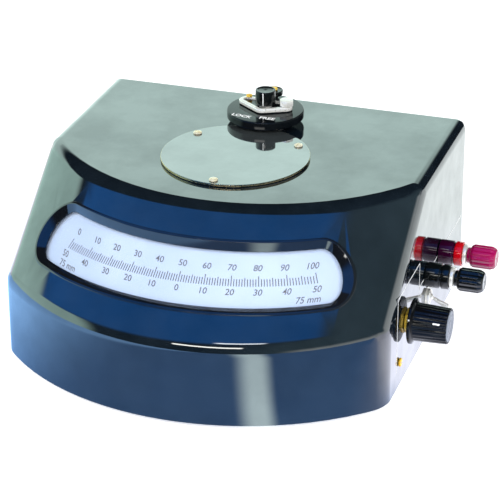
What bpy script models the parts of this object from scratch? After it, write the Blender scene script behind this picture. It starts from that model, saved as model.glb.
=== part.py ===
"""Spot reflecting galvanometer in a moulded case, with its movement, lamp and controls.

Metres, +Z up, +X to the control side, -Y to the scale. The origin is the point of the
bench under the middle of the case. Heights here are taken from the base plate's
underside, and at the end everything is lifted together until the feet stand on z = 0.
"""

import math

import bmesh
import bpy
from mathutils import Matrix, Vector

# Case
CASE_WIDTH = 0.234
CASE_SIDE_LENGTH = 0.179
FRONT_BULGE = 0.0524
CASE_HEIGHT = 0.1059
BAND_HEIGHT = 0.0483
TOP_FRONT_BULGE = 0.0657
TOP_FRONT_SETBACK = 0.0645
CASE_WALL = 0.004
EDGE_RADIUS = 0.0078
CREASE_RADIUS = 0.0030
RIM_DEPTH = 0.0033
ARC_STEPS = 30
EDGE_STEPS = 3

# Fits
GAP = 0.0003
OVERRUN = 0.002

# Base plate, side lug, feet and their screws
PLATE_THICKNESS = 0.002
LUG_THICKNESS = 0.003
LUG_WIDTH = 0.012
LUG_HEIGHT = 0.0175
FOOT_RADIUS = 0.008
FOOT_STANDING = 0.002
FOOT_WALL_GAP = 0.001
FOOT_RECESS_DEPTH = 0.0026
FRONT_FOOT_SETBACK = 0.0125
POST_HEIGHT = 0.024
POST_HALF_WIDTH = 0.0065
SCREW_RADIUS = 0.002
SCREW_HEAD_RADIUS = 0.0037
SCREW_HEAD_HEIGHT = 0.0018
SCREW_LENGTH = 0.018

# Scale window: sizes along X and Z on the sloped face, depths square to it
WINDOW_SIDE_MARGIN = 0.0223
WINDOW_HALF_HEIGHT = 0.01485
WINDOW_END_LENGTH = 0.0137
WINDOW_SHIFT = -0.0018
WINDOW_FAN_SHARE = 0.085
WINDOW_SIDE_STEPS = 15
WINDOW_END_STEPS = 7
BEZEL_PROUD = 0.0005
BEZEL_RIM_WIDTH = 0.0012
BEZEL_INSET = 0.0051
BEZEL_LIP_DEPTH = 0.0029
BEZEL_LIP_THICKNESS = 0.0008
BEZEL_FRAME_INSET = 0.0026
BEZEL_FLANGE_WIDTH = 0.0035
BEZEL_FLANGE_THICKNESS = 0.0022
GLASS_THICKNESS = 0.001
SCALE_THICKNESS = 0.001

# Nameplate, between the top's front edge and the suspension tube's flange
NAMEPLATE_FRONT_MARGIN = 0.0236
NAMEPLATE_HEAD_GAP = 0.0010
NAMEPLATE_THICKNESS = 0.0015
NAMEPLATE_SCREW_INSET = 0.0049
SMALL_SCREW_RADIUS = 0.0012
SMALL_HEAD_RADIUS = 0.0026
SMALL_HEAD_HEIGHT = 0.0013
SMALL_SCREW_LENGTH = 0.005

# Suspension head on the top of the case
HEAD_TO_BACK = 0.0410
TUBE_RADIUS = 0.0075
TUBE_BORE = 0.0036
TUBE_FLANGE_RADIUS = 0.0125
TUBE_FLANGE_THICKNESS = 0.0029
SPIGOT_RADIUS = 0.0040
DISC_RADIUS = 0.0237
DISC_THICKNESS = 0.0050
DISC_EDGE_RADIUS = 0.0006
RIM_LIFT = 0.0005
RIM_HEIGHT = 0.0024
RIM_WIDTH = 0.0028
HUB_THICKNESS = 0.0018
LEVER_HALF_SPAN = 0.0190
LEVER_NOSE = 0.0105
LEVER_CORNER_RADIUS = 0.0045
LOCK_NUT_RADIUS = 0.0046
LOCK_NUT_HEIGHT = 0.0036
LOCK_NUT_X = 0.0130
LOCK_NUT_Y = 0.0017
LOCK_SCREW_X = -0.0132
LOCK_SCREW_Y = 0.0083
LOCK_SCREW_HEAD_RADIUS = 0.0019
LOCK_SCREW_HEAD_HEIGHT = 0.0014
PILLAR_X = 0.0005
PILLAR_Y = 0.0145
PILLAR_RADIUS = 0.0030
PILLAR_CAP_RADIUS = 0.0059
PILLAR_CAP_THICKNESS = 0.0030
PILLAR_CAP_LIFT = 0.0011
ZERO_KNOB_RADIUS = 0.00615
ZERO_KNOB_HEIGHT = 0.0090
ZERO_KNOB_DISH = 0.0006
ZERO_KNOB_RIM = 0.0007
ZERO_KNOB_CAP = 0.0024
SPINDLE_RADIUS = 0.0016

# Clamp that holds the coil when the lever stands at lock
CLAMP_RADIUS = 0.0012
CLAMP_OFFSET = 0.0102
CLAMP_TRAVEL = 0.0030
CLAMP_ARM_THICKNESS = 0.0015
CLAMP_ARM_WIDTH = 0.0026
CLAMP_ARM_REACH = 0.0025

# Movement
FRAME_SPAN = 0.070
FRAME_STRAP = 0.0038
FRAME_BASE_THICKNESS = 0.004
FRAME_BRIDGE_THICKNESS = 0.003
FRAME_WIDTH = 0.020
FRAME_TOP_ROOM = 0.0166
MAGNET_SIDE_ROOM = 0.0022
POLE_LENGTH = 0.0107
MAGNET_YOKE = 0.013
MAGNET_DEPTH = 0.024
MAGNET_BELOW_COIL_TOP = 0.0010
POLE_BORE_RADIUS = 0.0106
POLE_END_ROOM = 0.0020
POLE_TIP_X = 0.0060
COIL_BELOW_BRIDGE = 0.0180
COIL_ABOVE_YOKE = 0.0114
COIL_SPAN = 0.0188
COIL_BAND = 0.0021
COIL_DEPTH = 0.0030
COIL_STEM_RADIUS = 0.0008
COIL_STEM_LOWER = 0.0022
CORE_RADIUS = 0.0062
CORE_END_ROOM = 0.0019
CORE_ARM_WIDTH = 0.0040
CORE_ARM_HEIGHT = 0.0060
CORE_STRAP_LENGTH = 0.0300
CORE_STRAP_THICKNESS = 0.0020
MIRROR_WIDTH = 0.0110
MIRROR_HEIGHT = 0.0090
MIRROR_THICKNESS = 0.0010
MIRROR_BELOW_BRIDGE = 0.0080
STRIP_RADIUS = 0.00025

# Lamp and optics, beside the movement's frame
MOVEMENT_SIDE_ROOM = 0.0040
LAMP_BELOW_MIRROR = 0.0110
LAMP_TO_BACK = 0.0367
LAMP_HOUSE_RADIUS = 0.0130
LAMP_HOUSE_WALL = 0.0012
LAMP_HOUSE_LENGTH = 0.0500
LAMP_STAND_WIDTH = 0.0160
LAMP_STAND_LENGTH = 0.0280
SOCKET_RADIUS = 0.0065
SOCKET_BORE = 0.0049
SOCKET_LENGTH = 0.0120
SOCKET_FLANGE_THICKNESS = 0.0020
BULB_CAP_RADIUS = 0.0046
BULB_RADIUS = 0.0055
BULB_LENGTH = 0.0240
LENS_THICKNESS = 0.0050
LENS_EDGE = 0.0016
LENS_SETBACK = 0.0020
FIXED_MIRROR_TO_FRONT = 0.0597
FIXED_MIRROR_WIDTH = 0.0260
FIXED_MIRROR_HEIGHT = 0.0160
FIXED_MIRROR_THICKNESS = 0.0030
MIRROR_TAB_THICKNESS = 0.0020

# Lamp transformer
TRANSFORMER_TO_BACK = 0.0102
CORE_PLATE_WIDTH = 0.0460
CORE_PLATE_HEIGHT = 0.0380
CORE_STACK = 0.0180
CORE_LIMB = 0.0120
CORE_WINDOW_WIDTH = 0.0090
CORE_WINDOW_HEIGHT = 0.0220
WINDING_THICKNESS = 0.0082

# Range switch on the control side
RANGE_TO_CORNER = 0.0408
RANGE_Z = 0.0321
BUSH_RADIUS = 0.0048
BUSH_REACH = 0.0028
RANGE_NUT_RADIUS = 0.0077
RANGE_NUT_THICKNESS = 0.0024
SWITCH_RADIUS = 0.0160
SWITCH_LENGTH = 0.0220
RANGE_SPINDLE_RADIUS = 0.0030
SPINDLE_REACH = 0.0200
KNOB_STANDOFF = 0.0031
SKIRT_RADIUS = 0.0134
SKIRT_THICKNESS = 0.0024
KNOB_BASE_RADIUS = 0.0112
KNOB_END_RADIUS = 0.0104
KNOB_REACH = 0.0256
KNOB_FLUTES = 24
KNOB_FLUTE_DEPTH = 0.0005
CAP_RADIUS = 0.0092
CAP_THICKNESS = 0.0010

# Terminals on the control side
TERMINAL_Z = 0.0397
TERMINAL_TO_RANGE = 0.0462
TERMINAL_SPACING = 0.0327
COLLAR_RADIUS = 0.0075
COLLAR_LENGTH = 0.0142
COLLAR_GROOVE_PLACE = 0.0085
COLLAR_GROOVE_DEPTH = 0.0008
COLLAR_GROOVE_WIDTH = 0.0012
STUD_RADIUS = 0.0020
STUD_NUT_RADIUS = 0.0050
STUD_NUT_THICKNESS = 0.0030
STUD_TAIL = 0.0090
CLAMP_RING_RADIUS = 0.0065
CLAMP_RING_THICKNESS = 0.0022
TERMINAL_NECK_RADIUS = 0.0048
TERMINAL_NECK_LENGTH = 0.0026
TERMINAL_HEAD_RADIUS = 0.0071
TERMINAL_HEAD_LENGTH = 0.0160
TERMINAL_END_RADIUS = 0.0056
TERMINAL_FLUTES = 16
TERMINAL_FLUTE_DEPTH = 0.0004

# Lamp switch on the control side
TOGGLE_TO_TERMINAL = 0.0025
TOGGLE_Z = 0.0239
TOGGLE_BUSH_RADIUS = 0.0034
TOGGLE_BUSH_REACH = 0.0026
TOGGLE_NUT_RADIUS = 0.0052
TOGGLE_NUT_THICKNESS = 0.0020
TOGGLE_BODY_WIDTH = 0.0130
TOGGLE_BODY_HEIGHT = 0.0210
TOGGLE_BODY_LENGTH = 0.0190
TOGGLE_PIVOT_REACH = 0.0020
TOGGLE_BALL_RADIUS = 0.0020
TOGGLE_LEVER_LENGTH = 0.0126
TOGGLE_LEVER_RADIUS = 0.0010
TOGGLE_TIP_RADIUS = 0.0016
TOGGLE_TILT = math.radians(25)

# Screw that holds the case to the base plate's lug
PANEL_SCREW_TO_CORNER = 0.0259
PANEL_SCREW_Z = 0.0123

# Lamp supply inlet in the back wall
INLET_TO_SIDE = 0.0420
INLET_Z = 0.0270
INLET_PLATE_WIDTH = 0.0260
INLET_PLATE_HEIGHT = 0.0160
INLET_PLATE_THICKNESS = 0.0020
INLET_BODY_WIDTH = 0.0190
INLET_BODY_HEIGHT = 0.0110
INLET_BODY_LENGTH = 0.0170
INLET_HOLE_RADIUS = 0.0019
INLET_HOLE_SPACING = 0.0100
INLET_HOLE_DEPTH = 0.0120

# Places that follow from the sizes above
HALF_WIDTH = CASE_WIDTH / 2
CASE_LENGTH = CASE_SIDE_LENGTH + FRONT_BULGE
BACK_Y = CASE_LENGTH / 2
CORNER_Y = BACK_Y - CASE_SIDE_LENGTH
BAND_FRONT_Y = -BACK_Y
BAND_RADIUS = (HALF_WIDTH**2 + FRONT_BULGE**2) / (2 * FRONT_BULGE)
BAND_CENTRE_Y = BAND_FRONT_Y + BAND_RADIUS
TOP_FRONT_Y = BAND_FRONT_Y + TOP_FRONT_SETBACK
TOP_FRONT_RADIUS = (HALF_WIDTH**2 + TOP_FRONT_BULGE**2) / (2 * TOP_FRONT_BULGE)
TOP_CENTRE_Y = TOP_FRONT_Y + TOP_FRONT_RADIUS
RIM_Z = -RIM_DEPTH
CREASE_Z = RIM_Z + BAND_HEIGHT
TOP_Z = RIM_Z + CASE_HEIGHT
SLOPE_ANGLE = math.atan2(TOP_Z - CREASE_Z, TOP_FRONT_SETBACK)
INNER_X = HALF_WIDTH - CASE_WALL
INNER_BACK_Y = BACK_Y - CASE_WALL
STANDING_HEIGHT = RIM_DEPTH + FOOT_STANDING
WINDOW_HALF_LENGTH = HALF_WIDTH - WINDOW_SIDE_MARGIN
WINDOW_MIDDLE_Z = (CREASE_Z + TOP_Z) / 2
HEAD_Y = BACK_Y - HEAD_TO_BACK
NAMEPLATE_FRONT_Y = TOP_FRONT_Y + NAMEPLATE_FRONT_MARGIN
NAMEPLATE_BACK_Y = HEAD_Y - TUBE_FLANGE_RADIUS - NAMEPLATE_HEAD_GAP
NAMEPLATE_RADIUS = (NAMEPLATE_BACK_Y - NAMEPLATE_FRONT_Y) / 2
NAMEPLATE_Y = NAMEPLATE_FRONT_Y + NAMEPLATE_RADIUS
NAMEPLATE_SCREW_CIRCLE = NAMEPLATE_RADIUS - NAMEPLATE_SCREW_INSET
RANGE_Y = CORNER_Y + RANGE_TO_CORNER
BLACK_TERMINAL_Y = RANGE_Y + TERMINAL_TO_RANGE
TERMINAL_Y = {"black": BLACK_TERMINAL_Y, "red": BLACK_TERMINAL_Y + TERMINAL_SPACING}
TOGGLE_Y = BLACK_TERMINAL_Y + TOGGLE_TO_TERMINAL
PANEL_SCREW_Y = CORNER_Y + PANEL_SCREW_TO_CORNER
INLET_X = INLET_TO_SIDE - HALF_WIDTH
PLATE_TOP_Z = PLATE_THICKNESS
FLOOR_Z = PLATE_TOP_Z + GAP
WALL_FACE_X = HALF_WIDTH + GAP
INNER_FACE_X = INNER_X - GAP
FLANGE_Z = TOP_Z + GAP
DISC_Z = FLANGE_Z + TUBE_FLANGE_THICKNESS + GAP
DISC_TOP_Z = DISC_Z + DISC_THICKNESS
HUB_Z = DISC_TOP_Z + GAP
HUB_TOP_Z = HUB_Z + HUB_THICKNESS
RIM_LOW_Z = DISC_TOP_Z + RIM_LIFT
RIM_TOP_Z = RIM_LOW_Z + RIM_HEIGHT
SPIGOT_TOP_Z = RIM_TOP_Z + GAP
ZERO_KNOB_Z = SPIGOT_TOP_Z + GAP
ZERO_KNOB_TOP_Z = ZERO_KNOB_Z + ZERO_KNOB_HEIGHT
GLASS_DEPTH = BEZEL_LIP_DEPTH + BEZEL_LIP_THICKNESS + GAP
SCALE_DEPTH = GLASS_DEPTH + GLASS_THICKNESS + GAP
FLANGE_DEPTH = CASE_WALL + GAP
BEZEL_BACK_DEPTH = FLANGE_DEPTH + BEZEL_FLANGE_THICKNESS
MAGNET_SPAN = FRAME_SPAN - 2 * (FRAME_STRAP + MAGNET_SIDE_ROOM)
MAGNET_LEG = MAGNET_SPAN / 2 - POLE_TIP_X - POLE_LENGTH - GAP
FRAME_BRIDGE_Z = TOP_Z - CASE_WALL - FRAME_TOP_ROOM - FRAME_BRIDGE_THICKNESS
MAGNET_Z = FLOOR_Z + FRAME_BASE_THICKNESS + GAP
COIL_BOTTOM_Z = MAGNET_Z + MAGNET_YOKE + COIL_ABOVE_YOKE
COIL_TOP_Z = FRAME_BRIDGE_Z - COIL_BELOW_BRIDGE
COIL_HEIGHT = COIL_TOP_Z - COIL_BOTTOM_Z
COIL_MIDDLE_Z = (COIL_TOP_Z + COIL_BOTTOM_Z) / 2
POLE_HEIGHT = COIL_HEIGHT - 2 * POLE_END_ROOM
CORE_HEIGHT = COIL_HEIGHT - 2 * (COIL_BAND + CORE_END_ROOM)
MAGNET_TOP_Z = COIL_TOP_Z - MAGNET_BELOW_COIL_TOP
MIRROR_MIDDLE_Z = FRAME_BRIDGE_Z - MIRROR_BELOW_BRIDGE
MIRROR_TOP_Z = MIRROR_MIDDLE_Z + MIRROR_HEIGHT / 2
LAMP_X = -(FRAME_SPAN / 2 + MOVEMENT_SIDE_ROOM + LAMP_HOUSE_RADIUS)
LAMP_Z = MIRROR_MIDDLE_Z - LAMP_BELOW_MIRROR
LAMP_BACK_Y = INNER_BACK_Y - LAMP_TO_BACK
LAMP_FRONT_Y = LAMP_BACK_Y - LAMP_HOUSE_LENGTH
FIXED_MIRROR_Y = BAND_FRONT_Y + FIXED_MIRROR_TO_FRONT
WINDING_HALF_DEPTH = CORE_STACK / 2 + GAP + WINDING_THICKNESS
TRANSFORMER_X = FRAME_SPAN / 2 + MOVEMENT_SIDE_ROOM + CORE_PLATE_WIDTH / 2
TRANSFORMER_Y = INNER_BACK_Y - TRANSFORMER_TO_BACK - WINDING_HALF_DEPTH
COLLAR_END = COLLAR_LENGTH + GAP
RING_START = COLLAR_END + GAP
HEAD_START = RING_START + CLAMP_RING_THICKNESS + GAP
HEAD_END = HEAD_START + TERMINAL_NECK_LENGTH + TERMINAL_HEAD_LENGTH
FIXED_MIRROR_TURN = math.atan2(-LAMP_X, HEAD_Y - FIXED_MIRROR_Y) / 2

ROUND_SIDES = 24
SMALL_SIDES = 16
HEX_SIDES = 6
BALL_STEPS = 8
LEVER_CORNER_STEPS = 4
MERGE_DISTANCE = 1e-6
SMOOTH_ANGLE = math.radians(34)
FULL_TURN = 2 * math.pi


def clear_scene():
    for old in list(bpy.data.objects):
        bpy.data.objects.remove(old, do_unlink=True)


def finish(name, colour, roughness, metallic=0.0, alpha=1.0):
    material = bpy.data.materials.new(name)
    material.use_nodes = True
    shader = material.node_tree.nodes["Principled BSDF"]
    shader.inputs["Base Color"].default_value = (*colour, 1.0)
    shader.inputs["Roughness"].default_value = roughness
    shader.inputs["Metallic"].default_value = metallic
    shader.inputs["Alpha"].default_value = alpha
    return material


def make_finishes():
    return {
        "black_moulding": finish("black_moulding", (0.012, 0.014, 0.018), 0.12),
        "black_plastic": finish("black_plastic", (0.010, 0.010, 0.012), 0.28),
        "red_plastic": finish("red_plastic", (0.42, 0.01, 0.07), 0.22),
        "nickel": finish("nickel", (0.80, 0.79, 0.74), 0.16, 1.0),
        "brass": finish("brass", (0.80, 0.56, 0.18), 0.25, 1.0),
        "steel": finish("steel", (0.45, 0.46, 0.48), 0.35, 1.0),
        "aluminium": finish("aluminium", (0.75, 0.76, 0.78), 0.30, 1.0),
        "rubber": finish("rubber", (0.02, 0.02, 0.02), 0.75),
        "glass": finish("glass", (0.90, 0.95, 0.97), 0.03, 0.0, 0.35),
        "scale_white": finish("scale_white", (0.58, 0.68, 0.92), 0.45),
        "nameplate_black": finish("nameplate_black", (0.02, 0.022, 0.026), 0.30),
        "copper": finish("copper", (0.72, 0.30, 0.14), 0.35, 1.0),
        "silvered_glass": finish("silvered_glass", (0.90, 0.92, 0.93), 0.04, 1.0),
        "magnet_steel": finish("magnet_steel", (0.20, 0.21, 0.23), 0.45, 1.0),
        "laminated_iron": finish("laminated_iron", (0.16, 0.15, 0.15), 0.50, 1.0),
        "board_brown": finish("board_brown", (0.20, 0.09, 0.04), 0.45),
    }


def make_object(name, mesh_data, material=None, at=(0, 0, 0), turned=(0, 0, 0), parent=None):
    """A named object from a bmesh, shaded smooth with its corners left crisp."""
    bmesh.ops.recalc_face_normals(mesh_data, faces=mesh_data.faces)
    mesh = bpy.data.meshes.new(name)
    mesh_data.to_mesh(mesh)
    mesh_data.free()
    mesh.shade_smooth()
    mesh.set_sharp_from_angle(angle=SMOOTH_ANGLE)
    made = bpy.data.objects.new(name, mesh)
    if material:
        mesh.materials.append(material)
    bpy.context.scene.collection.objects.link(made)
    made.location = at
    made.rotation_euler = turned
    made.parent = parent
    return made


def joint_axis(name, at):
    """An empty on a joint's axis, which the moving pieces hang from."""
    empty = bpy.data.objects.new(name, None)
    empty.location = at
    bpy.context.scene.collection.objects.link(empty)
    return empty


def combine(target, other, operation="DIFFERENCE"):
    """Cut the other shape out of the target, or join it on, and keep it as a guide."""
    modifier = target.modifiers.new(other.name, "BOOLEAN")
    modifier.operation = operation
    modifier.object = other
    other.hide_render = True
    other.display_type = "WIRE"


def spun(profile, sides=ROUND_SIDES, shell=False):
    """A turned solid about Z from (radius, height) points, closed on the axis or as a shell."""
    shape = bmesh.new()
    points = [shape.verts.new((radius, 0, height)) for radius, height in profile]
    pairs = list(zip(points, points[1:]))
    if shell:
        pairs.append((points[-1], points[0]))
    edges = [shape.edges.new(pair) for pair in pairs]
    bmesh.ops.spin(
        shape,
        geom=points + edges,
        cent=(0, 0, 0),
        axis=(0, 0, 1),
        angle=FULL_TURN,
        steps=sides,
        use_merge=True,
    )
    bmesh.ops.remove_doubles(shape, verts=shape.verts, dist=MERGE_DISTANCE)
    return shape


def cylinder(radius, low, high, sides=ROUND_SIDES):
    return spun([(0, low), (radius, low), (radius, high), (0, high)], sides)


def tube(radius, bore, low, high, sides=ROUND_SIDES):
    return spun([(bore, low), (radius, low), (radius, high), (bore, high)], sides, shell=True)


def block(low, high):
    """A box between two corners."""
    shape = bmesh.new()
    size = Vector(high) - Vector(low)
    middle = (Vector(high) + Vector(low)) / 2
    placing = Matrix.Translation(middle) @ Matrix.Diagonal((*size, 1))
    bmesh.ops.create_cube(shape, size=1, matrix=placing)
    return shape


def slab(outline, low, high):
    """A flat outline of (x, y) points raised from one height to another."""
    shape = bmesh.new()
    face = shape.faces.new([shape.verts.new((x, y, low)) for x, y in outline])
    raised = bmesh.ops.extrude_face_region(shape, geom=[face])
    tops = [item for item in raised["geom"] if isinstance(item, bmesh.types.BMVert)]
    bmesh.ops.translate(shape, verts=tops, vec=(0, 0, high - low))
    return shape


def guide(name, shape, at=(0, 0, 0), turned=(0, 0, 0)):
    return make_object(name, shape, None, at, turned)


def drill(target, name, radius, at, length, turned=(0, 0, 0), sides=ROUND_SIDES):
    """A straight hole whose middle is at a point, along Z before it is turned."""
    hole = guide(name, cylinder(radius, -length / 2, length / 2, sides), at, turned)
    combine(target, hole)


ALONG_X = (0, math.pi / 2, 0)
ALONG_Y = (-math.pi / 2, 0, 0)


def band_y(x, inset=0.0):
    """The bowed front wall at x, taken back by an inset."""
    return BAND_CENTRE_Y - math.sqrt((BAND_RADIUS - inset) ** 2 - x * x)


def top_front_y(x, setback=0.0):
    """The front edge of the top at x, taken back by a setback."""
    return TOP_CENTRE_Y + setback - math.sqrt(TOP_FRONT_RADIUS**2 - x * x)


def slope_point(x, z, depth):
    """The point of the sloped face at x and z, taken in square to the face by a depth."""
    share = (z - CREASE_Z) / (TOP_Z - CREASE_Z)
    low, high = band_y(x), top_front_y(x)
    low_lean = x / math.sqrt(BAND_RADIUS**2 - x * x)
    high_lean = x / math.sqrt(TOP_FRONT_RADIUS**2 - x * x)
    across = low_lean + (high_lean - low_lean) * share
    upward = (high - low) / (TOP_Z - CREASE_Z)
    outward = Vector((across, -1, upward)).normalized()
    return Vector((x, low + (high - low) * share, z)) - outward * depth


def window_outline(inset):
    """(x, z) round the window from its right tip over the top; its ends lean in towards the top."""
    half_length = WINDOW_HALF_LENGTH - inset
    half_height = WINDOW_HALF_HEIGHT - inset * math.sin(SLOPE_ANGLE)
    end = WINDOW_END_LENGTH - inset
    straight = half_length - end
    upper = []
    for step in range(WINDOW_END_STEPS):
        turn = math.pi / 2 * step / WINDOW_END_STEPS
        upper.append((straight + end * math.cos(turn), half_height * math.sin(turn)))
    for step in range(WINDOW_SIDE_STEPS + 1):
        upper.append((straight * (1 - 2 * step / WINDOW_SIDE_STEPS), half_height))
    for step in range(1, WINDOW_END_STEPS + 1):
        turn = math.pi / 2 * (1 + step / WINDOW_END_STEPS)
        upper.append((-straight + end * math.cos(turn), half_height * math.sin(turn)))
    lower = [(x, -z) for x, z in reversed(upper[1:-1])]
    outline = []
    for x, z in upper + lower:
        narrowing = 1 - WINDOW_FAN_SHARE * z / WINDOW_HALF_HEIGHT
        outline.append((WINDOW_SHIFT + x * narrowing, WINDOW_MIDDLE_Z + z))
    return outline


def window_ring(inset, depth):
    return [slope_point(x, z, depth) for x, z in window_outline(inset)]


def joined_rings(shape, rings, closed):
    """Quads between rings of points; a closed run joins its last ring to its first."""
    rows = [[shape.verts.new(point) for point in ring] for ring in rings]
    pairs = list(zip(rows, rows[1:]))
    if closed:
        pairs.append((rows[-1], rows[0]))
    for first, second in pairs:
        for k in range(len(first)):
            nxt = (k + 1) % len(first)
            shape.faces.new((first[k], first[nxt], second[nxt], second[k]))
    return rows


def window_slice(inset, near, far):
    """A solid of the window's outline between two depths, following the curved face."""
    shape = bmesh.new()
    rows = joined_rings(shape, [window_ring(inset, near), window_ring(inset, far)], False)
    for row in rows:
        count = len(row)
        for k in range(count // 2):
            corners = [row[k], row[k + 1], row[-k - 1], row[-k % count]]
            shape.faces.new(list(dict.fromkeys(corners)))
    return shape


def case_body(inset):
    """The case's outer form, or with an inset the room inside it, open past the rim."""
    half = HALF_WIDTH - inset
    back = BACK_Y - inset
    low_z = RIM_Z - (OVERRUN if inset else 0)
    crease_z = CREASE_Z - inset * math.tan((math.pi / 2 - SLOPE_ANGLE) / 2)
    top_z = TOP_Z - inset
    setback = inset * math.tan(SLOPE_ANGLE / 2)
    across = [half * (2 * step / ARC_STEPS - 1) for step in range(ARC_STEPS + 1)]
    shape = bmesh.new()
    low = [shape.verts.new((x, band_y(x, inset), low_z)) for x in across]
    crease = [shape.verts.new((x, band_y(x, inset), crease_z)) for x in across]
    top = [shape.verts.new((x, top_front_y(x, setback), top_z)) for x in across]
    low_back = [shape.verts.new((x, back, low_z)) for x in (-half, half)]
    top_back = [shape.verts.new((x, back, top_z)) for x in (-half, half)]
    for k in range(ARC_STEPS):
        shape.faces.new((low[k], low[k + 1], crease[k + 1], crease[k]))
        shape.faces.new((crease[k], crease[k + 1], top[k + 1], top[k]))
    shape.faces.new((low[-1], low_back[1], top_back[1], top[-1], crease[-1]))
    shape.faces.new((low[0], crease[0], top[0], top_back[0], low_back[0]))
    shape.faces.new((low_back[0], top_back[0], top_back[1], low_back[1]))
    shape.faces.new([*low, low_back[1], low_back[0]])
    shape.faces.new([*top, top_back[1], top_back[0]])
    return shape


def round_case_edges(shape):
    """Bevel weights: full on the top, the corners and the slope's ends, less on the crease."""
    weights = shape.edges.layers.float.new("bevel_weight_edge")
    crease_share = CREASE_RADIUS / EDGE_RADIUS
    for edge in shape.edges:
        ends = [vertex.co for vertex in edge.verts]
        if all(abs(end.z - RIM_Z) < GAP for end in ends):
            continue
        on_crease = all(abs(end.z - CREASE_Z) < GAP for end in ends)
        at_side = all(abs(abs(end.x) - HALF_WIDTH) < GAP for end in ends)
        on_top = all(abs(end.z - TOP_Z) < GAP for end in ends)
        if on_crease:
            edge[weights] = crease_share
        elif at_side or on_top:
            edge[weights] = 1


def foot_places():
    """(name, x, y) of the three feet: two at the front corners and one at the back."""
    side_x = INNER_X - FOOT_WALL_GAP - FOOT_RADIUS
    front_y = CORNER_Y + FRONT_FOOT_SETBACK
    back_y = INNER_BACK_Y - FOOT_WALL_GAP - FOOT_RADIUS
    return [("front_left", -side_x, front_y), ("front_right", side_x, front_y), ("back", 0.0, back_y)]


def screw_post(name, x, y):
    """The block inside the case that takes a foot's screw, rooted half way into the wall."""
    half = POST_HALF_WIDTH
    low = Vector((x - half, y - half, FLOOR_Z))
    high = Vector((x + half, y + half, FLOOR_Z + POST_HEIGHT))
    if x > 0:
        high.x = INNER_X + CASE_WALL / 2
    elif x < 0:
        low.x = -INNER_X - CASE_WALL / 2
    else:
        high.y = INNER_BACK_Y + CASE_WALL / 2
    return guide(f"post_{name}", block(low, high))


def nameplate_screw_places():
    """(x, y) of the nameplate's screws, one at the front and two towards the back."""
    turn_shares = (-0.25, 0.10, 0.40)
    places = []
    for share in turn_shares:
        x = NAMEPLATE_SCREW_CIRCLE * math.cos(FULL_TURN * share)
        y = NAMEPLATE_Y + NAMEPLATE_SCREW_CIRCLE * math.sin(FULL_TURN * share)
        places.append((x, y))
    return places


def make_case(finishes):
    shape = case_body(0)
    round_case_edges(shape)
    case = make_object("case_shell", shape, finishes["black_moulding"])
    rounding = case.modifiers.new("edges", "BEVEL")
    rounding.limit_method = "WEIGHT"
    rounding.offset_type = "OFFSET"
    rounding.width = EDGE_RADIUS
    rounding.segments = EDGE_STEPS
    combine(case, guide("case_room", case_body(CASE_WALL)))
    for name, x, y in foot_places():
        combine(case, screw_post(name, x, y), "UNION")
        middle = FLOOR_Z + SCREW_LENGTH / 2
        drill(case, f"post_hole_{name}", SCREW_RADIUS + GAP, (x, y, middle), SCREW_LENGTH + OVERRUN)
    combine(case, guide("window_cut", window_slice(-GAP, -OVERRUN, CASE_WALL + OVERRUN)))
    through = CASE_WALL + 2 * OVERRUN
    top_middle = TOP_Z - CASE_WALL / 2
    drill(case, "tube_hole", TUBE_RADIUS + GAP, (0, HEAD_Y, top_middle), through)
    rod_middle = (-CLAMP_OFFSET, HEAD_Y, top_middle)
    drill(case, "clamp_hole", CLAMP_RADIUS + GAP, rod_middle, through, sides=SMALL_SIDES)
    small_hole = SMALL_SCREW_RADIUS + GAP
    for k, (x, y) in enumerate(nameplate_screw_places()):
        drill(case, f"plate_hole_{k}", small_hole, (x, y, top_middle), through, sides=SMALL_SIDES)
    wall_middle = INNER_X + CASE_WALL / 2
    side_holes = {
        "range": (BUSH_RADIUS, RANGE_Y, RANGE_Z),
        "toggle": (TOGGLE_BUSH_RADIUS, TOGGLE_Y, TOGGLE_Z),
        "black": (STUD_RADIUS, TERMINAL_Y["black"], TERMINAL_Z),
        "red": (STUD_RADIUS, TERMINAL_Y["red"], TERMINAL_Z),
        "panel_screw": (SMALL_SCREW_RADIUS, PANEL_SCREW_Y, PANEL_SCREW_Z),
    }
    for name, (radius, y, z) in side_holes.items():
        drill(case, f"side_hole_{name}", radius + GAP, (wall_middle, y, z), through, ALONG_X)
    half = Vector((INLET_BODY_WIDTH / 2 + GAP, through / 2, INLET_BODY_HEIGHT / 2 + GAP))
    middle = Vector((INLET_X, INNER_BACK_Y + CASE_WALL / 2, INLET_Z))
    combine(case, guide("inlet_cut", block(middle - half, middle + half)))


def fixed_mirror_place():
    """Where the fixed mirror stands and how it turns the lamp's beam to the coil's mirror."""
    return (LAMP_X, FIXED_MIRROR_Y, 0), (0, 0, -FIXED_MIRROR_TURN)


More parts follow.
